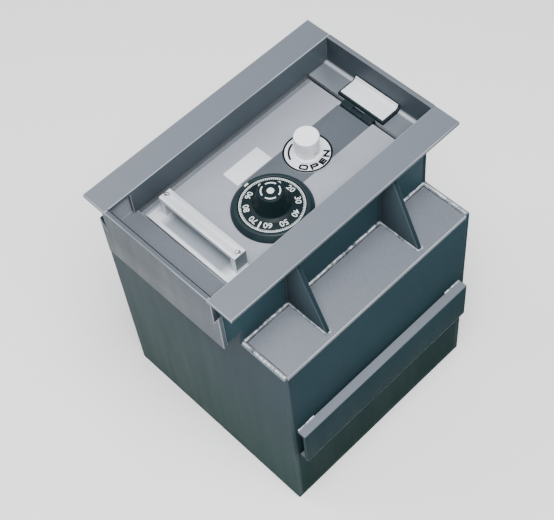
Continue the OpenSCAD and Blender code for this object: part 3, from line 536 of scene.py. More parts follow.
class Finishes:
    """Every finish on the safe."""

    # The safe's plates share one paint; the plate finishes here are its lit and shaded copies. Darker copy
    # as painted shade, darker still towards the bottom, with painted light on upward faces and its near end.
    FRONT = PlatePaint(
        "front paint", Slot.BODY, srgb("22343b"), 0.66, srgb("70757d"), 1.0, srgb("04201a"), 0.03, 0.24,
        cloud=0.14, worn=srgb("3c484d"), sheen=0.02, near=srgb("343f45"),
    )
    # Darker copy as painted shade, darker still towards the bottom, with painted light on upward faces.
    END = PlatePaint(
        "end paint", Slot.BODY, srgb("38444a"), 0.62, srgb("70757d"), 1.0, srgb("1a332d"), 0.0, 0.3,
        cloud=0.14, worn=srgb("3c484d"), sheen=0.05,
    )
    # Lighter copy of the plate paint, as painted light.
    SHOULDER = PlatePaint("shoulder paint", Slot.BODY, srgb("666b73"), 0.52, srgb("666b73"), 1.0)
    # Painted light on upward faces; its edges are lighter as scuffs and painted highlight.
    FLANGE = PlatePaint(
        "flange paint", Slot.BODY, srgb("465057"), 0.5, srgb("62676f"), 1.0, worn=srgb("a0a6ae")
    )
    # Painted light on upward faces, darker towards the front as painted shade; edges lighter as scuffs and
    # painted highlight.
    COLLAR = PlatePaint(
        "collar paint", Slot.BODY, srgb("434c55"), 0.5, srgb("4b5057"), 1.0, srgb("1d2f35"), 0.1, -0.03,
        Axis.Y, worn=srgb("989fa7"),
    )
    BEND = PlatePaint("bend paint", Slot.BODY, srgb("9aa0a8"), 0.45)
    # Lighter copy of the plate paint, as painted light.
    POCKET = PlatePaint("pocket paint", Slot.BODY, srgb("878c94"), 0.55, srgb("6b7078"), 1.0)
    # Darker copy of the plate paint, as painted shade.
    NECK = PlatePaint(
        "neck paint", Slot.BODY, srgb("30474f"), 0.62, srgb("60656d"), 1.0, worn=srgb("4a555a"), sheen=0.03
    )
    # Darker copy as painted shade, with painted light on the faces towards the near end.
    GUSSET = PlatePaint(
        "gusset paint", Slot.BODY, srgb("1e2e35"), 0.62, srgb("60656d"), 1.0, worn=srgb("4a555a"),
        sheen=0.03, near=srgb("424f56"),
    )
    # Upward faces toned as painted light.
    LEDGE = PlatePaint("ledge paint", Slot.BODY, srgb("565a62"), 0.62, srgb("50545b"), 1.0, speckle=0.8)
    # Darker copy as painted shade, with painted highlight along the bend and painted light on the ledge's
    # edge.
    FAR = BentPaint("far ledge paint", Slot.BODY, srgb("333c43"), 0.5, srgb("5a5f66"), 1.0, wear=0.25)
    # Very dark: partly the hinge's own paint, partly painted shade in the hinge gap and round the bare
    # plate.
    HINGE = PlatePaint("hinge paint", Slot.BODY, srgb("152024"), 0.55, worn=srgb("2a3438"), sheen=0.1)
    SLAB = PlatePaint("door paint", Slot.DOOR, srgb("5f656d"), 0.5)
    PANEL = PlatePaint("panel paint", Slot.PANEL, srgb("898d96"), 0.5, cloud=0.08, speckle=0.12)
    STRIP = PlatePaint("strip paint", Slot.STRIP, srgb("4a5057"), 0.5, cloud=0.12, speckle=0.2, wear=0.0)
    BEAD = BeadMetal("weld metal", Slot.WELD, srgb("d2d7dc"), 0.45)
    # Gusset beads, painted darker above the shoulder level as shade under the flange.
    DULL_BEAD = BeadMetal("dull weld metal", Slot.WELD, srgb("a4abb2"), 0.55, upper=srgb("323f46"))
    # Painted shadow: the dark lines beside the welds and along the collar's inner top edge.
    UNDERCUT = PlatePaint("undercut shadow", Slot.WELD, srgb("141d21"), 0.7, wear=0.0)
    # Painted shadow under the grip and painted shade on the end posts.
    HANDLE = HandleMetal(
        "satin handle metal", Slot.BRIGHT, srgb("d3d7de"), 0.42, Brushing.ALONG_Y, 0.25, 0.9
    )
    KNOB = Enamel("knob white", Slot.BRIGHT, srgb("ecedf2"), 0.4, 0.94, 0.15)
    WHITE = Enamel("plate white", Slot.WHITE, srgb("d3d6dd"), 0.42, 0.93, 0.1)
    LEGEND = Enamel("legend white", Slot.BLACK, srgb("d6dddd"), 0.5, 0.85, 0.0)
    INK = Enamel("legend black", Slot.WHITE, srgb("0c161a"), 0.6, 0.8, 0.0, sheen=0.06)
    BLACK = Enamel("dial black", Slot.BLACK, srgb("0d1d21"), 0.5, 0.7, 0.0, 0.1 * MM, 0.16)
    RING = Enamel("ring black", Slot.BLACK, srgb("11252a"), 0.5, 0.7, 0.03, 0.16 * MM, 0.3)
    STEEL = BrushedMetal("turned steel", Slot.STEEL, srgb("b9bdc2"), 0.34, Brushing.ALONG_X)
    GUIDE = BrushedMetal("milled steel", Slot.STEEL, srgb("a4a8ad"), 0.45, Brushing.ALONG_Y)
    BRASS = BrushedMetal("lock brass", Slot.BRASS, srgb("c9ab62"), 0.36, Brushing.ALONG_Y)
    FLOOR = FloorPaper("floor paper", Slot.WHITE, srgb("fbfbfb"), 0.8)


Part = tuple[Finish, Body, float]


def new_piece(name: str, data: bpy.types.ID) -> bpy.types.Object:
    """Makes an object for a mesh or other data, at the origin."""
    piece = bpy.data.objects.new(name, data)
    bpy.context.scene.collection.objects.link(piece)
    return piece


def from_bmesh(name: str, shape: bmesh.types.BMesh) -> bpy.types.Object:
    """Turns a bmesh into a piece and frees it."""
    mesh = bpy.data.meshes.new(name)
    shape.to_mesh(mesh)
    shape.free()
    return new_piece(name, mesh)


def evaluated(piece: bpy.types.Object) -> bpy.types.Mesh:
    """Mesh of a piece with its modifiers applied, or of a curve."""
    bpy.context.view_layer.update()
    return bpy.data.meshes.new_from_object(piece.evaluated_get(bpy.context.evaluated_depsgraph_get()))


def settle(piece: bpy.types.Object) -> None:
    """Applies a piece's modifiers, so that only a plain mesh is left."""
    result = evaluated(piece)
    piece.modifiers.clear()
    piece.data = result


def soften(piece: bpy.types.Object, width: float) -> None:
    """Rounds the sharp edges of a piece by a width in metres, smooths it and marks the rounded faces."""
    for polygon in piece.data.polygons:
        polygon.use_smooth = True
    bevel = piece.modifiers.new("edge rounding", "BEVEL")
    bevel.width = width
    bevel.segments = BEVEL_STEPS
    bevel.limit_method = "ANGLE"
    bevel.angle_limit = BEVEL_ANGLE
    bevel.use_clamp_overlap = True
    bevel.harden_normals = True
    bevel.material = 1
    piece.data.materials.append(None)
    piece.data.materials.append(None)
    settle(piece)
    # The mark on the rounded faces; the finishes colour them as scuffs and painted highlight.
    rubbed = piece.data.attributes.new(EDGE, "FLOAT", "FACE")
    rubbed.data.foreach_set("value", [float(p.material_index) for p in piece.data.polygons])
    for polygon in piece.data.polygons:
        polygon.material_index = 0


def finished(
    piece: bpy.types.Object, finish: Finish, body: Body, stands_for: tuple[str, ...] = ()
) -> bpy.types.Object:
    """Gives a piece its material and its body, and hides the CAD nodes that it stands for.

    Args:
        piece: The piece, in place.
        finish: Its finish.
        body: The body that it moves with.
        stands_for: Names of the CAD nodes that it replaces.

    Returns:
        The piece.
    """
    piece.data.materials.clear()
    piece.data.materials.append(finish.material())
    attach(piece, body.value)
    if stands_for:
        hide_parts(*stands_for)
    LOG.info("%s: %d faces, rides on %s", piece.name, len(piece.data.polygons), body.value)
    return piece


def softened_node(node: str, finish: Finish, body: Body, width: float) -> bpy.types.Object:
    """Replaces a CAD node by a copy of it with rounded edges.

    Args:
        node: Name of the node.
        finish: Its finish.
        body: Its body.
        width: Width of the rounding in metres.

    Returns:
        The piece.
    """
    shape = bmesh.new()
    shape.from_mesh(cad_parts[node].data)
    bmesh.ops.remove_doubles(shape, verts=shape.verts, dist=TINY)
    bmesh.ops.dissolve_limit(shape, angle_limit=FLAT_ANGLE, verts=shape.verts, edges=shape.edges)
    piece = from_bmesh(f"{node}_softened", shape)
    soften(piece, width)
    return finished(piece, finish, body, (node,))


def soften_all(parts: dict[str, Part]) -> None:
    """Softens the CAD nodes of a table, each with its finish, its body and its rounding."""
    for node, part in parts.items():
        softened_node(node, *part)


def rectangle(x0: float, y0: float, x1: float, y1: float) -> Outline:
    """Outline of a rectangle between two opposite corners."""
    return [(x0, y0), (x1, y0), (x1, y1), (x0, y1)]


def spoke(turn: float) -> Vector:
    """Unit vector in X and Y at an angle in radians."""
    return Vector((math.cos(turn), math.sin(turn), 0))


def arc_path(centre: Vector, radius: float, first: float, last: float, steps: int = 24) -> Path:
    """Points along an arc in X and Y, between two angles in degrees."""
    turns = [math.radians(first + (last - first) * i / steps) for i in range(steps + 1)]
    return [centre.xy + spoke(t).xy * radius for t in turns]


def rounded_outline(corners: Outline, radius: float) -> Path:
    """Rounds the inner corners of an open outline, less where a side is short."""
    points = [Vector(c) for c in corners]
    result = [points[0]]
    for before, corner, after in zip(points, points[1:], points[2:]):
        reach = min(radius, (before - corner).length / 2, (after - corner).length / 2)
        start = corner + (before - corner).normalized() * reach
        end = corner + (after - corner).normalized() * reach
        for i in range(ROUND_STEPS + 1):
            t = i / ROUND_STEPS
            result.append(start * (1 - t) ** 2 + corner * (2 * t * (1 - t)) + end * t**2)
    return result + [points[-1]]


def turned(
    name: str, base: Vector, profile: Outline, radius: float, closed: bool = False
) -> bpy.types.Object:
    """Turns a profile round an upright axis.

    Args:
        name: Name of the piece.
        base: Point on the axis, at the profile's zero height.
        profile: Pairs of radius and height in metres, from the bottom to the top.
        radius: Rounding of the profile's corners.
        closed: Whether the profile is a ring's, which joins its own start.

    Returns:
        The piece.
    """
    outline = rounded_outline(profile + profile[:1] if closed else profile, radius)
    outline = outline[:-1] if closed else outline
    circle = [spoke(2 * math.pi * i / TURN_STEPS) for i in range(TURN_STEPS)]
    shape = bmesh.new()
    rows = []
    for away, height in outline:
        spokes = circle if away > TINY else [Vector((0, 0, 0))]
        rows.append([shape.verts.new(base + s * away + Vector((0, 0, height))) for s in spokes])
    for low, high in zip(rows, rows[1:] + rows[:1] if closed else rows[1:]):
        for i in range(TURN_STEPS):
            j = (i + 1) % TURN_STEPS
            corners = [row[k % len(row)] for row, k in ((low, i), (low, j), (high, j), (high, i))]
            shape.faces.new(list(dict.fromkeys(corners)))
    bmesh.ops.recalc_face_normals(shape, faces=shape.faces)
    for face in shape.faces:
        face.smooth = True
    return from_bmesh(name, shape)


def extruded(name: str, outline: Outline, axis: Axis, low: float, high: float) -> bpy.types.Object:
    """Extrudes a flat outline along one axis.

    Args:
        name: Name of the piece.
        outline: Corners in the two other axes, in their usual order.
        axis: The axis.
        low: Where the extrusion starts.
        high: Where it ends.

    Returns:
        The piece.
    """
    shape = bmesh.new()
    rings = []
    for level in (low, high):
        places = [list(pair) for pair in outline]
        for place in places:
            place.insert(axis.value, level)
        rings.append([shape.verts.new(place) for place in places])
        shape.faces.new(rings[-1])
    lower, upper = rings
    for side in zip(lower, lower[1:] + lower[:1], upper[1:] + upper[:1], upper):
        shape.faces.new(side)
    bmesh.ops.recalc_face_normals(shape, faces=shape.faces)
    return from_bmesh(name, shape)


def ribbon(name: str, path: Path, width: float, low: float, high: float) -> bpy.types.Object:
    """Makes a flat band of even width along a path in X and Y.

    Args:
        name: Name of the piece.
        path: Points of its middle line. A path that ends at its first point is a closed loop.
        width: Width of the band.
        low: Level of its underside.
        high: Level of its top.

    Returns:
        The piece.
    """
    loop = (path[0] - path[-1]).length < TINY * MM
    left, right = [], []
    for i, point in enumerate(path):
        before = path[i - 1] if i else path[-2] if loop else None
        after = path[i + 1] if i + 1 < len(path) else path[1] if loop else None
        steps = [(b - a).normalized() for a, b in ((before, point), (point, after)) if None not in (a, b)]
        course = sum(steps, Vector((0, 0))).normalized()
        across = Vector((-course.y, course.x)) * (width / 2 / max(0.5, course.dot(steps[0])))
        left.append(point + across)
        right.append(point - across)
    return extruded(name, [tuple(p) for p in left + right[::-1]], Axis.Z, low, high)


def lines_piece(name: str, paths: list[Path]) -> bpy.types.Object:
    """Makes a piece of bare lines, one chain of edges for each path, or of bare points."""
    shape = bmesh.new()
    for path in paths:
        row = [shape.verts.new(p) for p in path]
        for ends in zip(row, row[1:]):
            shape.edges.new(ends)
    return from_bmesh(name, shape)


def merged(name: str, pieces: list[bpy.types.Object]) -> bpy.types.Object:
    """Joins several pieces' meshes into one new piece and removes them."""
    shape = bmesh.new()
    for piece in pieces:
        shape.from_mesh(piece.data)
        bpy.data.objects.remove(piece)
    return from_bmesh(name, shape)


def carve(piece: bpy.types.Object, cutter: bpy.types.Object) -> None:
    """Cuts one piece out of another and removes the cutter."""
    cut = piece.modifiers.new("cut", "BOOLEAN")
    cut.operation = "DIFFERENCE"
    cut.object = cutter
    settle(piece)
    bpy.data.objects.remove(cutter)


class PieceTree:
    """A geometry tree with named inputs, which turns a start mesh into a finished piece."""

    def __init__(self, name: str, inputs: dict[str, str]) -> None:
        """Makes the tree and its interface, from the type of each named input."""
        self.tree = bpy.data.node_groups.new(name, "GeometryNodeTree")
        kinds = {"Start": "NodeSocketGeometry", **inputs, "Finish": "NodeSocketMaterial"}
        for label, kind in kinds.items():
            self.tree.interface.new_socket(label, in_out="INPUT", socket_type=kind)
        self.tree.interface.new_socket("Piece", in_out="OUTPUT", socket_type="NodeSocketGeometry")
        self.nodes = Nodes(self.tree)
        self.entry = self.nodes.add("NodeGroupInput")

    def given(self, label: str) -> Value:
        """A named input as a value."""
        return Value(self.nodes, self.nodes.socket(self.entry.outputs, label))

    def copies(
        self, points: Value, shape: Value, turn: Value, scale: Value | Point = (1.0, 1.0, 1.0)
    ) -> Value:
        """Sets copies of a shape on points, each turned about Z and scaled."""
        spin = self.nodes.get("FunctionNodeEulerToRotation", {"Euler": self.nodes.join(z=turn)})
        values = {"Points": points, "Instance": shape, "Rotation": spin, "Scale": scale}
        return self.nodes.get("GeometryNodeInstanceOnPoints", values)

    def end(self, geometry: Value) -> None:
        """Realises the instances, smooths, sets the material and closes the tree."""
        real = self.nodes.get("GeometryNodeRealizeInstances", {"Geometry": geometry})
        smooth = self.nodes.get("GeometryNodeSetShadeSmooth", {"Geometry": real})
        values = {"Geometry": smooth, "Material": self.given("Finish")}
        self.nodes.add("NodeGroupOutput", {"Piece": self.nodes.get("GeometryNodeSetMaterial", values)})

    def run(self, start: bpy.types.Object, values: dict[str, object]) -> None:
        """Runs the tree on a piece and leaves a plain mesh.

        Args:
            start: The piece that holds the start mesh.
            values: The named inputs' values.
        """
        modifier = start.modifiers.new(self.tree.name, "NODES")
        modifier.node_group = self.tree
        for item in self.tree.interface.items_tree:
            if item.in_out == "INPUT" and item.name in values:
                modifier[item.identifier] = values[item.name]
        start.update_tag()
        settle(start)


class BeadTree(PieceTree):
    """Lays a rippled weld bead along each line of the start mesh.

    Cells are per metre. The bead's thickness has an even share, a ripple's and a swell's.
    """

    WANDER_CELLS = 70.0
    SWELL_CELLS = 38.0
    LUMP_CELLS = 420.0
    EVEN, RIPPLED, SWOLLEN = 0.62, 0.16, 0.5
    CREST = 0.6
    SIDES = 12
    STEPS = 6

    def __init__(self) -> None:
        """Builds the tree: a path, its wander, its ripples, its section and its lumps."""
        super().__init__("weld bead", dict.fromkeys(("Radius", "Ripple", "Wander", "Lump", "Seed"), FLOAT))
        get, given = self.nodes.get, self.given
        path = get("GeometryNodeMeshToCurve", {"Mesh": given("Start")})
        spacing = {"Curve": path, "Length": given("Ripple") / self.STEPS}
        fine = get("GeometryNodeResampleCurve", spacing, {"mode": "LENGTH"})
        line = self.shaken(fine, self.WANDER_CELLS, given("Wander"))
        along = get("GeometryNodeSplineParameter", output="Length") / given("Ripple")
        ripple = (along * math.pi).math("SINE").math("ABSOLUTE") ** self.CREST
        swell = self.cloud(self.SWELL_CELLS, "Fac")
        thickness = self.EVEN + ripple * self.RIPPLED + swell * self.SWOLLEN
        circle = {"Resolution": self.SIDES, "Radius": given("Radius")}
        section = get("GeometryNodeCurvePrimitiveCircle", circle)
        values = {"Curve": line, "Profile Curve": section, "Scale": thickness, "Fill Caps": True}
        self.end(self.shaken(get("GeometryNodeCurveToMesh", values), self.LUMP_CELLS, given("Lump")))

    def cloud(self, cells: float, output: str) -> Value:
        """Noise over the place, moved by the seed, with its cells per metre."""
        where = self.nodes.get("GeometryNodeInputPosition")
        values = {"Vector": where, "W": self.given("Seed"), "Scale": cells, "Detail": 2.0}
        return self.nodes.get("ShaderNodeTexNoise", values, {"noise_dimensions": "4D"}, output)

    def shaken(self, geometry: Value, cells: float, reach: Value) -> Value:
        """Shifts each point by noise.

        Args:
            geometry: The curve or mesh.
            cells: The noise's cells per metre.
            reach: Greatest shift in metres.

        Returns:
            The shifted geometry.
        """
        get = self.nodes.get
        values = {0: self.cloud(cells, "Color"), 1: (0.5, 0.5, 0.5)}
        middle = get("ShaderNodeVectorMath", values, {"operation": "SUBTRACT"})
        shift = get("ShaderNodeVectorMath", {0: middle, "Scale": reach * 2}, {"operation": "SCALE"})
        return get("GeometryNodeSetPosition", {"Geometry": geometry, "Offset": shift})


class TickTree(PieceTree):
    """Sets marks round a circle, with a longer and wider mark at every fifth place."""

    EVERY = 5.0
    WIDEN = 0.35

    def __init__(self) -> None:
        """Builds the tree: one bar on each point of a circle, scaled and turned."""
        numbers = ("Radius", "Length", "Width", "Height", "Level", "Turn", "Stretch")
        super().__init__("dial marks", {"Count": "NodeSocketInt", **dict.fromkeys(numbers, FLOAT)})
        get, join, given = self.nodes.get, self.nodes.join, self.given
        index = get("GeometryNodeInputIndex")
        angle = index / given("Count") * (2 * math.pi) + given("Turn")
        fifth = index.math("MODULO", index, self.EVERY) < 0.5
        stretch = 1.0 + fifth * given("Stretch")
        reach = given("Radius") - stretch * given("Length") / 2
        spot = join(reach * angle.math("COSINE"), reach * angle.math("SINE"), given("Level"))
        points = get("GeometryNodePoints", {"Count": given("Count"), "Position": spot})
        size = join(given("Length"), given("Width"), given("Height"))
        bar = get("GeometryNodeMeshCube", {"Size": size})
        self.end(self.copies(points, bar, angle, join(stretch, 1.0 + fifth * self.WIDEN, 1.0)))


class ScrewTree(PieceTree):
    """Sets a copy of one screw head on every point of the start mesh, each turned at random."""

    def __init__(self) -> None:
        """Builds the tree: the pattern screw on each point, with a seeded turn."""
        super().__init__("screw heads", {"Pattern": "NodeSocketObject", "Seed": "NodeSocketInt"})
        get, given = self.nodes.get, self.given
        pattern = get("GeometryNodeObjectInfo", {"Object": given("Pattern")}, output="Geometry")
        values = {"Min_001": 0.0, "Max_001": math.pi, "Seed": given("Seed")}
        turn = get("FunctionNodeRandomValue", values, {"data_type": "FLOAT"}, "Value_001")
        self.end(self.copies(given("Start"), pattern, turn))

    def place(self, node: str, places: Path, pattern: bpy.types.Object, seed: int) -> None:
        """Sets screw heads in place of a CAD node of the door, and removes their pattern.

        Args:
            node: Name of the node, in the plural.
            places: The heads' places.
            pattern: One head at the origin.
            seed: Seed of their turns.
        """
        piece = lines_piece(f"{node[:-1]}_heads", [[place] for place in places])
        self.run(piece, {"Pattern": pattern, "Seed": seed, "Finish": Finishes.STEEL.material()})
        bpy.data.objects.remove(pattern)
        finished(piece, Finishes.STEEL, Body.DOOR, (node,))


@dataclass(frozen=True)
class ScrewHead:
    """Slotted pan head. Its forms are shares of its radius or its height."""

    radius: float
    height: float
    sunk: float = 0.1
    rim: float = 0.6
    crown: float = 0.7
    rounding: float = 0.12
    slot: float = 0.16
    slot_reach: float = 1.2
    slot_floor: float = 0.45

    def build(self) -> bpy.types.Object:
        """Makes the head at the origin, as a pattern that is removed after use."""
        r, h = self.radius, self.height
        profile = [(0, -h * self.sunk), (r, -h * self.sunk), (r, h * self.rim), (r * self.crown, h), (0, h)]
        head = turned("screw_pattern", Vector((0, 0, 0)), profile, r * self.rounding)
        reach, half = r * self.slot_reach, r * self.slot
        slot = rectangle(-reach, -half, reach, half)
        carve(head, extruded("screw_slot", slot, Axis.Z, h * self.slot_floor, h * 2))
        return head


@dataclass
class Shell:
    """Welded body, neck and collar."""

    edge: float = 0.9 * MM
    thin_edge: float = 0.5 * MM
    rubbed: float = 2.0 * MM
    cut: float = 0.6 * MM
    line_half: float = 0.75 * MM
    line_in: float = 0.2 * MM
    line_sunk: float = 0.05 * MM
    plates: dict[str, Finish] = field(
        default_factory=lambda: {
            "base_plate": Finishes.FRONT,
            "front_plate": Finishes.FRONT,
            "back_plate": Finishes.END,
            "near_end_plate": Finishes.END,
            "far_end_plate": Finishes.FRONT,
            "front_shoulder_plate": Finishes.SHOULDER,
            "back_shoulder_plate": Finishes.SHOULDER,
            "front_neck_plate": Finishes.NECK,
            "back_neck_plate": Finishes.POCKET,
            "near_collar_plate": Finishes.COLLAR,
            "pocket_floor": Finishes.NECK,
            "near_ledge_plate": Finishes.LEDGE,
            "bolt_keeper": Finishes.LEDGE,
            "far_ledge_angle": Finishes.FAR,
            "front_flange_angle": Finishes.FLANGE,
            "back_flange_angle": Finishes.FLANGE,
            "front_near_gusset": Finishes.GUSSET,
            "front_far_gusset": Finishes.GUSSET,
            "back_near_gusset": Finishes.END,
            "back_far_gusset": Finishes.END,
            "anchor_channel": Finishes.FRONT,
            "front_door_rest": Finishes.NECK,
            "back_door_rest": Finishes.NECK,
        }
    )

    def build(self) -> None:
        """Softens the edges of every plate and lays the two lines."""
        for node, finish in self.plates.items():
            softened_node(node, finish, Body.SAFE, self.thin_edge if "rest" in node else self.edge)
        self.collar_line()
        self.channel_edge()

    def collar_line(self) -> None:
        """Lays a painted shadow line along the inner top edge of the near collar."""
        ledge, half = extent("near_ledge_plate"), self.line_half
        top = extent("near_collar_plate").high.z - self.line_sunk
        x = ledge.low.x - self.line_in
        outline = rectangle(x - half, top - half, x + half, top)
        line = extruded("collar_dark_line", outline, Axis.Y, ledge.low.y, ledge.high.y)
        finished(line, Finishes.UNDERCUT, Body.SAFE)

    def channel_edge(self) -> None:
        """Lays a lighter strip along the channel's lower outer edge."""
        low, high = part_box("anchor_channel")
        y, z, wide, cut = low.y, low.z, self.rubbed, self.cut
        outline = [(y, z + wide), (y, z + cut), (y + cut, z), (y + wide, z)]
        strip = extruded("channel_rubbed_edge", outline, Axis.X, low.x + self.edge, high.x - self.edge)
        finished(strip, Finishes.BEND, Body.SAFE)


@dataclass
class Beads:
    """Weld beads, and the painted shadow lines beside them, laid by one geometry tree.

    Ripple, wander, lump, sink and dip are shares of a radius. Pairs are a bead's and a line's.
    """

    tree: BeadTree
    neck_radius: float = 2.0 * MM
    small_radius: float = 1.6 * MM
    cap_radius: float = 2.0 * MM
    line_radius: float = 0.6 * MM
    stitch: float = 28 * MM
    ripple: tuple[float, float] = (0.9, 5.0)
    wander: tuple[float, float] = (0.35, 1.1)
    lump: float = 0.28
    sink: float = 0.3
    dip: float = 0.55

    def build(self) -> None:
        """Lays the beads of the neck, the gussets, the shoulders' ends and the channel."""
        sunk = self.neck_radius * self.sink
        beside = self.neck_radius * (1 + self.sink) + self.line_radius
        dip = -self.line_radius * self.dip
        metal, line = Finishes.BEAD, Finishes.UNDERCUT
        self.lay("neck_welds", self.neck_paths(sunk, sunk), self.neck_radius, metal, 1.0)
        self.lay("gusset_welds", self.gusset_paths(), self.small_radius, Finishes.DULL_BEAD, 2.0)
        self.lay("shoulder_welds", self.cap_paths(-self.cap_radius, 0), self.cap_radius, metal, 3.0)
        self.lay("channel_welds", self.channel_paths(), self.small_radius, metal, 4.0)
        # Painted shadow lines beside the neck and shoulder beads.
        self.lay("neck_undercut", self.neck_paths(beside, dip), self.line_radius, line, 5.0)
        self.lay("shoulder_undercut", self.cap_paths(self.line_radius * 2, dip), self.line_radius, line, 6.0)

    def lay(self, name: str, paths: list[Path], radius: float, finish: Finish, seed: float) -> None:
        """Lays one group of beads, or of the painted shadow lines beside them.

        Args:
            name: Name of the CAD node that the beads stand for, or a new name.
            paths: Their middle lines.
            radius: Their radius in metres.
            finish: Their finish.
            seed: Seed of their shape.
        """
        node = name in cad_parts
        piece = lines_piece(f"{name}_beads" if node else name, paths)
        values = {
            "Radius": radius,
            "Ripple": radius * self.ripple[not node],
            "Wander": radius * self.wander[not node],
            "Lump": radius * self.lump,
            "Seed": seed,
            "Finish": finish.material(),
        }
        self.tree.run(piece, values)
        finished(piece, finish, Body.SAFE, (name,) if node else ())

    @staticmethod
    def neck_paths(off: float, rise: float) -> list[Path]:
        """Lines along the foot of the neck, between the gussets, off the neck and above the shoulders."""
        low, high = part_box("neck_welds")
        near, far = extent("front_near_gusset"), extent("front_far_gusset")
        spans = ((low.x, near.low.x), (near.high.x, far.low.x), (far.high.x, high.x))
        walls = (extent("front_neck_plate").low.y - off, extent("back_neck_plate").high.y + off)
        return [[Vector((x, y, low.z + rise)) for x in span] for y in walls for span in spans]

    def gusset_paths(self) -> list[Path]:
        """Lines up the wall, along the foot and round the toe of each gusset."""
        paths = []
        off = self.small_radius * self.sink
        for node in ("front_near_gusset", "front_far_gusset", "back_near_gusset", "back_far_gusset"):
            low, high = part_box(node)
            wall, toe, side = (high.y, low.y, -1) if node.startswith("front") else (low.y, high.y, 1)
            level = low.z + off
            wall, reach = wall + side * off, toe + side * off * 2
            for x in (low.x - off, high.x + off):
                paths.append([Vector((x, wall, z)) for z in (high.z - self.small_radius, level)])
            half = [(low.x - off, wall), (low.x - off, reach - side * off), (low.x + off, reach)]
            corners = half + [(low.x + high.x - x, y) for x, y in reversed(half)]
            paths.append([Vector((x, y, level)) for x, y in corners])
        return paths

    def cap_paths(self, inward: float, rise: float) -> list[Path]:
        """Lines along the shoulders' joints with the end plates, inward of them and above the shoulders."""
        low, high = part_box("shoulder_welds")
        joints = (extent("near_end_plate").high.x + inward, extent("far_end_plate").low.x - inward)
        spans = (
            (extent("front_neck_plate").low.y, low.y + self.cap_radius),
            (extent("back_neck_plate").high.y, high.y - self.cap_radius),
        )
        return [[Vector((x, y, low.z + rise)) for y in span] for x in joints for span in spans]

    def channel_paths(self) -> list[Path]:
        """Middle lines of the stitches above and below the ends of the channel."""
        low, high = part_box("anchor_channel")
        off, end = self.small_radius * self.sink, self.small_radius
        y = extent("front_plate").low.y - off
        spans = ((low.x + end, low.x + self.stitch), (high.x - self.stitch, high.x - end))
        levels = (high.z + off, low.z - off)
        return [[Vector((x, y, z)) for x in span] for span in spans for z in levels]


@dataclass(frozen=True)
class Stencil:
    """Wide block letters drawn as bands of even width, for the word on the knob's plate.

    Each further band of a letter is lower by a share of its height, so no two tops share a plane.
    """

    height: float = 5.5 * MM
    stroke: float = 2.5 * MM
    corner: float = 2.0 * MM
    bar: float = 0.42
    lower: float = 0.1

    def letter(self, letter: str, spin: float, middle: Vector, thick: float) -> bpy.types.Object:
        """Draws one letter.

        Args:
            letter: One of the letters O, P, E and N.
            spin: Turn about Z in radians.
            middle: Where the middle of its underside lies.
            thick: Height of the relief.

        Returns:
            The piece.
        """
        wide = {"O": 8.6, "P": 7.6, "E": 7.2, "N": 7.8}[letter] * MM
        top, bar, side = self.height, self.height * self.bar, self.stroke / 2
        stem = [(0, -side), (0, top + side)]
        bands = {
            "O": [[(wide / 2, 0), (wide, 0), (wide, top), (0, top), (0, 0), (wide / 2, 0)]],
            "P": [stem, [(0, top), (wide, top), (wide, bar), (0, bar)]],
            "E": [stem, *([(0, level), (wide, level)] for level in (0, top / 2, top))],
            "N": [stem, [(wide, -side), (wide, top + side)], [(0, top), (wide, 0)]],
        }[letter]
        parts = []
        for i, band in enumerate(bands):
            path = rounded_outline(band, self.corner) if len(band) > 2 else [Vector(p) for p in band]
            parts.append(ribbon("band", path, self.stroke, 0, thick * (1 - self.lower * i)))
        piece = merged("letter", parts)
        centre = Matrix.Translation((-wide / 2, -top / 2, 0))
        piece.data.transform(Matrix.Translation(middle) @ Matrix.Rotation(spin, 4, "Z") @ centre)
        return piece


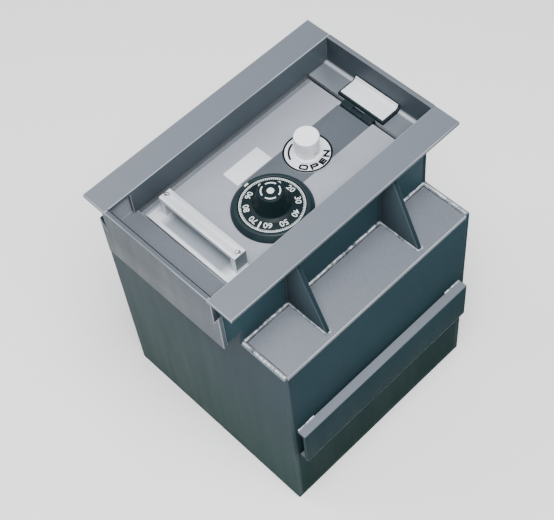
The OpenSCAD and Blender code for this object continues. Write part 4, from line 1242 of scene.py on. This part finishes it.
@dataclass
class Door:
    """Door slab with its face panel, centre strip, bare plate and hinge."""

    lip: float = 0.3 * MM
    hole: float = 7 * MM
    rounding: float = 0.25 * MM
    border: float = 2.4 * MM
    word: str = "OPEN"
    word_radius: float = 22.0 * MM
    word_angles: tuple[float, ...] = (212.5, 246.5, 278.0, 308.5)
    arc_radius: float = 22.0 * MM
    arc_angles: tuple[float, float] = (98.0, 162.0)
    arc_width: float = 2.6 * MM
    leaf_margin: float = 1.2 * MM
    ink: float = 0.15 * MM
    parts: dict[str, Part] = field(
        default_factory=lambda: {
            "door_slab": (Finishes.SLAB, Body.DOOR, 0.8 * MM),
            "face_panel": (Finishes.PANEL, Body.DOOR, 0.5 * MM),
            "centre_strip": (Finishes.STRIP, Body.DOOR, 0.15 * MM),
            "name_plate": (Finishes.WHITE, Body.DOOR, 0.25 * MM),
            "hinge_door_knuckle": (Finishes.HINGE, Body.DOOR, 0.2 * MM),
            "hinge_fixed_leaf": (Finishes.HINGE, Body.SAFE, 0.4 * MM),
            "hinge_leaf_plate": (Finishes.WHITE, Body.SAFE, 0.3 * MM),
            "hinge_pin": (Finishes.HINGE, Body.SAFE, 0.3 * MM),
        }
    )

    def build(self) -> None:
        """Makes every piece that lies on the door and on the hinge."""
        soften_all(self.parts)
        self.leaf_plate()
        self.knob_plate()

    def knob_plate(self) -> None:
        """Makes the round plate, its black border, its arc and its word."""
        box = extent("knob_plate")
        radius = box.radius + self.lip
        profile = rectangle(self.hole, 0, radius, box.height)
        plate = turned("knob_plate_disc", box.base, profile, self.rounding, closed=True)
        finished(plate, Finishes.WHITE, Body.DOOR, ("knob_plate",))
        top = box.base + Vector((0, 0, box.height))
        rim = arc_path(top, radius - self.border / 2, 0, 360, TURN_STEPS)
        arc = arc_path(top, self.arc_radius, *self.arc_angles)
        parts = [
            ribbon("border", rim, self.border, top.z, top.z + self.ink),
            ribbon("arc", arc, self.arc_width, top.z, top.z + self.ink),
        ]
        for letter, angle in zip(self.word, map(math.radians, self.word_angles)):
            place = top + spoke(angle) * self.word_radius
            parts.append(Stencil().letter(letter, angle + math.pi / 2, place, self.ink))
        finished(merged("knob_plate_legend", parts), Finishes.INK, Body.DOOR)

    def leaf_plate(self) -> None:
        """Shrinks the bare plate on the hinge leaf a little, so that the dark leaf, partly painted shade,
        frames it.
        """
        box = extent("hinge_leaf_plate")
        shrink = [1 - 2 * self.leaf_margin / side for side in (box.high - box.low).xy]
        scale = Matrix.Diagonal((*shrink, 1, 1))
        piece = bpy.data.objects["hinge_leaf_plate_softened"]
        piece.data.transform(Matrix.Translation(box.middle) @ scale @ Matrix.Translation(-box.middle))


@dataclass
class LiftHandle:
    """Pull with a foot, a back, a grip and two end posts."""

    screws: ScrewTree
    edge: float = 0.8 * MM
    seed: int = 3

    def build(self) -> None:
        """Softens the handle and sets its slotted screws."""
        softened_node("lift_handle", Finishes.HANDLE, Body.DOOR, self.edge)
        box = extent("handle_screws")
        top = extent("lift_handle").high.z
        rows = (box.low.y + box.radius, box.high.y - box.radius)
        pattern = ScrewHead(box.radius, box.high.z - top).build()
        places = [Vector((box.middle.x, y, top)) for y in rows]
        self.screws.place("handle_screws", places, pattern, self.seed)


@dataclass
class CombinationDial:
    """Bevelled ring, dial with printed marks and numbers, conical knob and what turns behind it."""

    marks: TickTree
    ring_hole: float = 6 * MM
    ring_floor: float = 2 * MM
    ring_side: float = 3 * MM
    ring_slope: float = 5 * MM
    ring_gap: float = 0.6 * MM
    ring_rounding: float = 1.2 * MM
    dial_rounding: float = 1.1 * MM
    face: float = 3 * MM
    face_drop: float = 0.4 * MM
    face_rise: float = 1 * MM
    kink: float = 26 * MM
    cone: tuple[float, float] = (21.5 * MM, 6 * MM)
    crown: tuple[float, float] = (16.2 * MM, 3 * MM)
    top_radius: float = 14.8 * MM
    arcs: tuple[float, float] = (11 * MM, 1.5 * MM)
    arc_ends: tuple[float, float] = (12.0, 78.0)
    arc_steps: int = 16
    hub: float = 4.1 * MM
    border: tuple[float, float] = (0.5 * MM, 1.2 * MM)
    inset: float = 1 * MM
    tick: Point = (2.9 * MM, 1.05 * MM, 0.5 * MM)
    tick_stretch: float = 0.35
    tick_inset: float = 2 * MM
    tick_sunk: float = 0.1 * MM
    number_radius: float = 29.2 * MM
    number_size: float = 9.7 * MM
    number_bold: float = 0.006
    number_wide: float = 1.08
    number_steps: int = 4
    first_angle: float = 72.0
    index_angle: float = 91.5
    index_mark: tuple[float, float] = (1.1 * MM, 2.7 * MM)
    step: int = 10
    long_mark: int = 65
    long_mark_start: float = 26.5 * MM
    long_mark_width: float = 1.9 * MM
    count: int = 100
    ink: float = 0.12 * MM

    def build(self) -> None:
        """Makes the ring, the dial, its marks and numbers, and dresses the spindle and cam."""
        self.box = extent("dial")
        self.middle = Vector((*self.box.middle.xy, 0))
        self.ring()
        self.dial()
        self.figures()
        softened_node("dial_spindle", Finishes.STEEL, Body.DIAL, 0.3 * MM)
        softened_node("drive_cam", Finishes.BRASS, Body.DIAL, 0.2 * MM)

    def ring(self) -> None:
        """Makes the fixed ring with its index mark."""
        box, ink = extent("dial_ring"), self.ink
        inner = self.box.radius + self.ring_gap
        rim = box.radius - self.ring_slope
        profile = [
            (self.ring_hole, 0), (box.radius, 0), (box.radius, self.ring_side), (rim, box.height),
            (inner, box.height), (inner, self.ring_floor), (self.ring_hole, self.ring_floor),
        ]
        base = self.middle + Vector((0, 0, box.low.z))
        piece = turned("dial_ring_bevelled", base, profile, self.ring_rounding, closed=True)
        finished(piece, Finishes.RING, Body.DOOR, ("dial_ring",))
        turn = math.radians(self.index_angle)
        place = self.middle + spoke(turn) * (inner + rim) / 2 + Vector((0, 0, box.high.z))
        reach, half = self.index_mark
        mark = extruded("index_mark", rectangle(-reach, -half, reach, half), Axis.Z, 0, ink)
        mark.data.transform(Matrix.Translation(place) @ Matrix.Rotation(turn, 4, "Z"))
        finished(mark, Finishes.LEGEND, Body.DOOR)

    def dial(self) -> None:
        """Makes the dial with its rim, cone and knob."""
        box, face, (crown, crown_drop) = self.box, self.face, self.crown
        profile = [
            (0, 0), (box.radius, 0), (box.radius, face - self.face_drop), (self.kink, face + self.face_rise),
            self.cone, (crown, box.height - crown_drop), (self.top_radius, box.height), (0, box.height),
        ]
        piece = turned("dial_with_knob", box.base, profile, self.dial_rounding)
        finished(piece, Finishes.BLACK, Body.DIAL, ("dial",))
        top, ink, (first, last) = box.high.z, self.ink, self.arc_ends
        radius, width = self.arcs
        parts = []
        for quarter in range(0, 360, 90):
            path = arc_path(self.middle, radius, quarter + first, quarter + last, self.arc_steps)
            parts.append(ribbon("arc", path, width, top - ink * 2, top + ink / 2))
        hub = self.middle + Vector((0, 0, top - ink / 2))
        profile = [(0, 0), (self.hub, 0), (self.hub, ink), (0, ink)]
        parts.append(turned("hub", hub, profile, ink / 6))
        finished(merged("knob_top_ring", parts), Finishes.LEGEND, Body.DIAL)

    def slope(self, radius: float) -> float:
        """Height of the dial's face at a radius, for marks that lie on it."""
        face, edge = self.box.low.z + self.face, self.box.radius
        if radius < self.kink:
            cone_radius, cone_foot = self.cone
            grade = (cone_foot - self.face - self.face_rise) / (self.kink - cone_radius)
            return face + self.face_rise + (self.kink - radius) * grade
        grade = (self.face_rise + self.face_drop) / (edge - self.kink)
        return face - self.face_drop + (edge - radius) * grade

    def drape(self, pieces: list[bpy.types.Object]) -> None:
        """Lays flat pieces, drawn at zero height, on the sloping face of the dial."""
        for piece in pieces:
            for vertex in piece.data.vertices:
                vertex.co.z += self.slope((vertex.co - self.middle).xy.length)

    def angle(self, number: int) -> float:
        """Angle of a number's place, in radians."""
        return math.radians(self.first_angle - number * 360 / self.count)

    def number(self, number: int) -> bpy.types.Object:
        """Makes one number at its place round the dial, as a thin raised mesh at zero height."""
        thick = self.ink * 3
        curve = bpy.data.curves.new("number", "FONT")
        curve.body = str(number)
        curve.size = self.number_size
        curve.align_x = "CENTER"
        curve.align_y = "CENTER"
        curve.extrude = thick / 2
        curve.offset = self.number_size * self.number_bold
        curve.resolution_u = self.number_steps
        source = new_piece("number", curve)
        mesh = evaluated(source)
        bpy.data.objects.remove(source)
        turn = self.angle(number)
        place = self.middle + spoke(turn) * self.number_radius + Vector((0, 0, thick / 2 - self.ink * 2))
        spin = Matrix.Rotation(turn - math.pi / 2, 4, "Z") @ Matrix.Diagonal((self.number_wide, 1, 1, 1))
        mesh.transform(Matrix.Translation(place) @ spin)
        return new_piece("number", mesh)

    def figures(self) -> None:
        """Sets a mark at each of the hundred places, a number at every tenth and one long mark."""
        edge, ink = self.box.radius, self.ink
        length, width, height = self.tick
        start = lines_piece("dial_marks", [[self.middle]])
        values = {
            "Count": self.count,
            "Radius": edge - self.border[0],
            "Length": length,
            "Width": width,
            "Height": height,
            "Level": self.slope(edge - self.tick_inset) - self.tick_sunk,
            "Turn": math.radians(self.first_angle),
            "Stretch": self.tick_stretch,
            "Finish": Finishes.LEGEND.material(),
        }
        self.marks.run(start, values)
        start.data.transform(Matrix.Translation(self.middle))
        outer, inner = (edge - border for border in self.border)
        rim = self.middle + Vector((0, 0, self.slope(edge - self.inset) - ink / 3))
        line = turned("rim_line", rim, rectangle(inner, 0, outer, ink), ink / 6, closed=True)
        figures = [self.number(number) for number in range(0, self.count, self.step)]
        reach = (self.long_mark_start, edge - self.inset)
        path = [(self.middle + spoke(self.angle(self.long_mark)) * r).xy for r in reach]
        figures.append(ribbon("long_mark", path, self.long_mark_width, -ink * 2, ink))
        self.drape(figures)
        finished(merged("dial_figures", [start, line, *figures]), Finishes.LEGEND, Body.DIAL)


@dataclass
class ReleaseKnob:
    """White knob on its foot, with the crank behind it."""

    foot_height: float = 1.6 * MM
    waist: tuple[float, float] = (14.6 * MM, 3.4 * MM)
    neck_radius: float = 14.4 * MM
    neck_share: float = 0.4
    shoulder: tuple[float, float] = (15.1 * MM, 1 * MM)
    top_radius: float = 14.2 * MM
    rounding: float = 1.2 * MM
    screw_depth: float = 2.5 * MM
    screw_past: float = 2 * MM
    screw_gap: float = 0.7 * MM
    parts: dict[str, Part] = field(
        default_factory=lambda: {
            "knob_set_screw": (Finishes.STEEL, Body.KNOB, 0.2 * MM),
            "knob_spindle": (Finishes.STEEL, Body.KNOB, 0.3 * MM),
            "knob_crank": (Finishes.GUIDE, Body.KNOB, 0.4 * MM),
        }
    )

    def build(self) -> None:
        """Turns the knob and dresses its screw, spindle and crank."""
        box = extent("release_knob")
        foot, height, (shoulder, shoulder_drop) = box.radius, box.height, self.shoulder
        profile = [
            (0, 0), (foot, 0), (foot, self.foot_height), self.waist,
            (self.neck_radius, height * self.neck_share), (shoulder, height - shoulder_drop),
            (self.top_radius, height), (0, height),
        ]
        piece = turned("release_knob_turned", box.base, profile, self.rounding)
        self.drill(piece)
        finished(piece, Finishes.KNOB, Body.KNOB, ("release_knob",))
        soften_all(self.parts)

    def drill(self, piece: bpy.types.Object) -> None:
        """Sinks the hole of the set screw into the knob's side."""
        box = extent("knob_set_screw")
        circle = arc_path(box.middle.xz, box.radius + self.screw_gap, 0, 360)[:-1]
        ends = (box.low.y - self.screw_past, box.low.y + self.screw_depth)
        carve(piece, extruded("screw_hole", [tuple(p) for p in circle], Axis.Y, *ends))


@dataclass
class LockWork:
    """Lock, wheels and bolt work under the door."""

    screws: ScrewTree
    screw_radius: float = 3 * MM
    seed: int = 5
    parts: dict[str, Part] = field(
        default_factory=lambda: {
            "lock_case": (Finishes.BRASS, Body.DOOR, 0.6 * MM),
            "lock_cover": (Finishes.BRASS, Body.DOOR, 0.4 * MM),
            "wheel_post": (Finishes.BRASS, Body.DOOR, 0.2 * MM),
            "bolt_guide_block": (Finishes.GUIDE, Body.DOOR, 0.6 * MM),
            "bar_guide": (Finishes.GUIDE, Body.DOOR, 0.4 * MM),
            "wheel_one": (Finishes.BRASS, Body.WHEEL_ONE, 0.15 * MM),
            "wheel_two": (Finishes.BRASS, Body.WHEEL_TWO, 0.15 * MM),
            "wheel_three": (Finishes.BRASS, Body.WHEEL_THREE, 0.15 * MM),
            "lock_bolt": (Finishes.BRASS, Body.LOCK, 0.5 * MM),
            "lock_lever": (Finishes.BRASS, Body.LOCK, 0.3 * MM),
            "bolt_bar": (Finishes.GUIDE, Body.BOLTS, 0.5 * MM),
            "bolt_head": (Finishes.GUIDE, Body.BOLTS, 0.6 * MM),
            "locking_bolts": (Finishes.STEEL, Body.BOLTS, 0.4 * MM),
        }
    )

    def build(self) -> None:
        """Softens the parts and sets the cover's screws."""
        soften_all(self.parts)
        low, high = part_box("lock_cover_screws")
        radius, level = self.screw_radius, extent("lock_cover").low.z
        rows = [(a + radius, b - radius) for a, b in zip(low.xy, high.xy)]
        pattern = ScrewHead(radius, level - low.z).build()
        pattern.data.transform(Matrix.Rotation(math.pi, 4, "X"))
        places = [Vector((x, y, level)) for x in rows[0] for y in rows[1]]
        self.screws.place("lock_cover_screws", places, pattern, self.seed)


@dataclass(frozen=True)
class Lamp:
    """One square soft lamp that points at the door."""

    name: str
    place: Point
    size: float
    power: float
    aim: Point = (0.0, 0.0, 0.3)

    def build(self) -> None:
        """Hangs the lamp."""
        light = bpy.data.lights.new(self.name, "AREA")
        light.size = self.size
        light.energy = self.power
        course = Vector(self.aim) - Vector(self.place)
        turn = course.to_track_quat("-Z", "Y").to_matrix().to_4x4()
        new_piece(self.name, light).matrix_world = Matrix.Translation(self.place) @ turn


@dataclass
class Studio:
    """Camera at the photograph's viewing angle, a pale floor and soft light."""

    eye: Point = (-0.5566, -0.6718, 1.5257)
    ahead: Point = (0.3492, 0.4364, -0.8292)
    right: Point = (0.7094, -0.7013, -0.0704)
    lens: float = 81.93
    sensor: float = 36.0
    view_length: float = 50.0
    floor_half: float = 6.0
    floor_levels: tuple[float, float] = (-20 * MM, -0.2 * MM)
    sky: tuple[float, ...] = (0.93, 0.96, 1.0, 1.0)
    sky_strength: float = 0.4
    lamps: tuple[Lamp, ...] = (
        Lamp("key", (-0.4, -0.8, 2.7), 1.5, 140.0),
        Lamp("back", (-0.9, 1.6, 2.1), 1.4, 30.0),
    )

    def build(self) -> None:
        """Sets up the camera, the floor, the sky and the lamps."""
        self.camera()
        self.floor()
        world = bpy.data.worlds.new("studio sky")
        bpy.context.scene.world = world
        world.use_nodes = True
        background = world.node_tree.nodes["Background"]
        background.inputs["Color"].default_value = self.sky
        background.inputs["Strength"].default_value = self.sky_strength
        for lamp in self.lamps:
            lamp.build()

    def camera(self) -> None:
        """Places the camera."""
        lens = bpy.data.cameras.new("camera")
        lens.sensor_width = self.sensor
        lens.lens = self.lens
        lens.clip_end = self.view_length
        camera = new_piece("camera", lens)
        back = -Vector(self.ahead).normalized()
        right = Vector(self.right)
        right = (right - back * right.dot(back)).normalized()
        turn = Matrix((right, back.cross(right), back)).transposed().to_4x4()
        camera.matrix_world = Matrix.Translation(self.eye) @ turn
        bpy.context.scene.camera = camera

    def floor(self) -> None:
        """Lays the floor just under the safe."""
        half = self.floor_half
        floor = extruded("floor", rectangle(-half, -half, half, half), Axis.Z, *self.floor_levels)
        floor.data.materials.append(Finishes.FLOOR.material())


def main() -> None:
    """Builds the studio and every sub-assembly."""
    logging.basicConfig(level=logging.INFO, format="%(name)s %(message)s")
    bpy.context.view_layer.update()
    screws = ScrewTree()
    Studio().build()
    Shell().build()
    Beads(BeadTree()).build()
    Door().build()
    LiftHandle(screws).build()
    CombinationDial(TickTree()).build()
    ReleaseKnob().build()
    LockWork(screws).build()


if __name__ == "__main__":
    main()
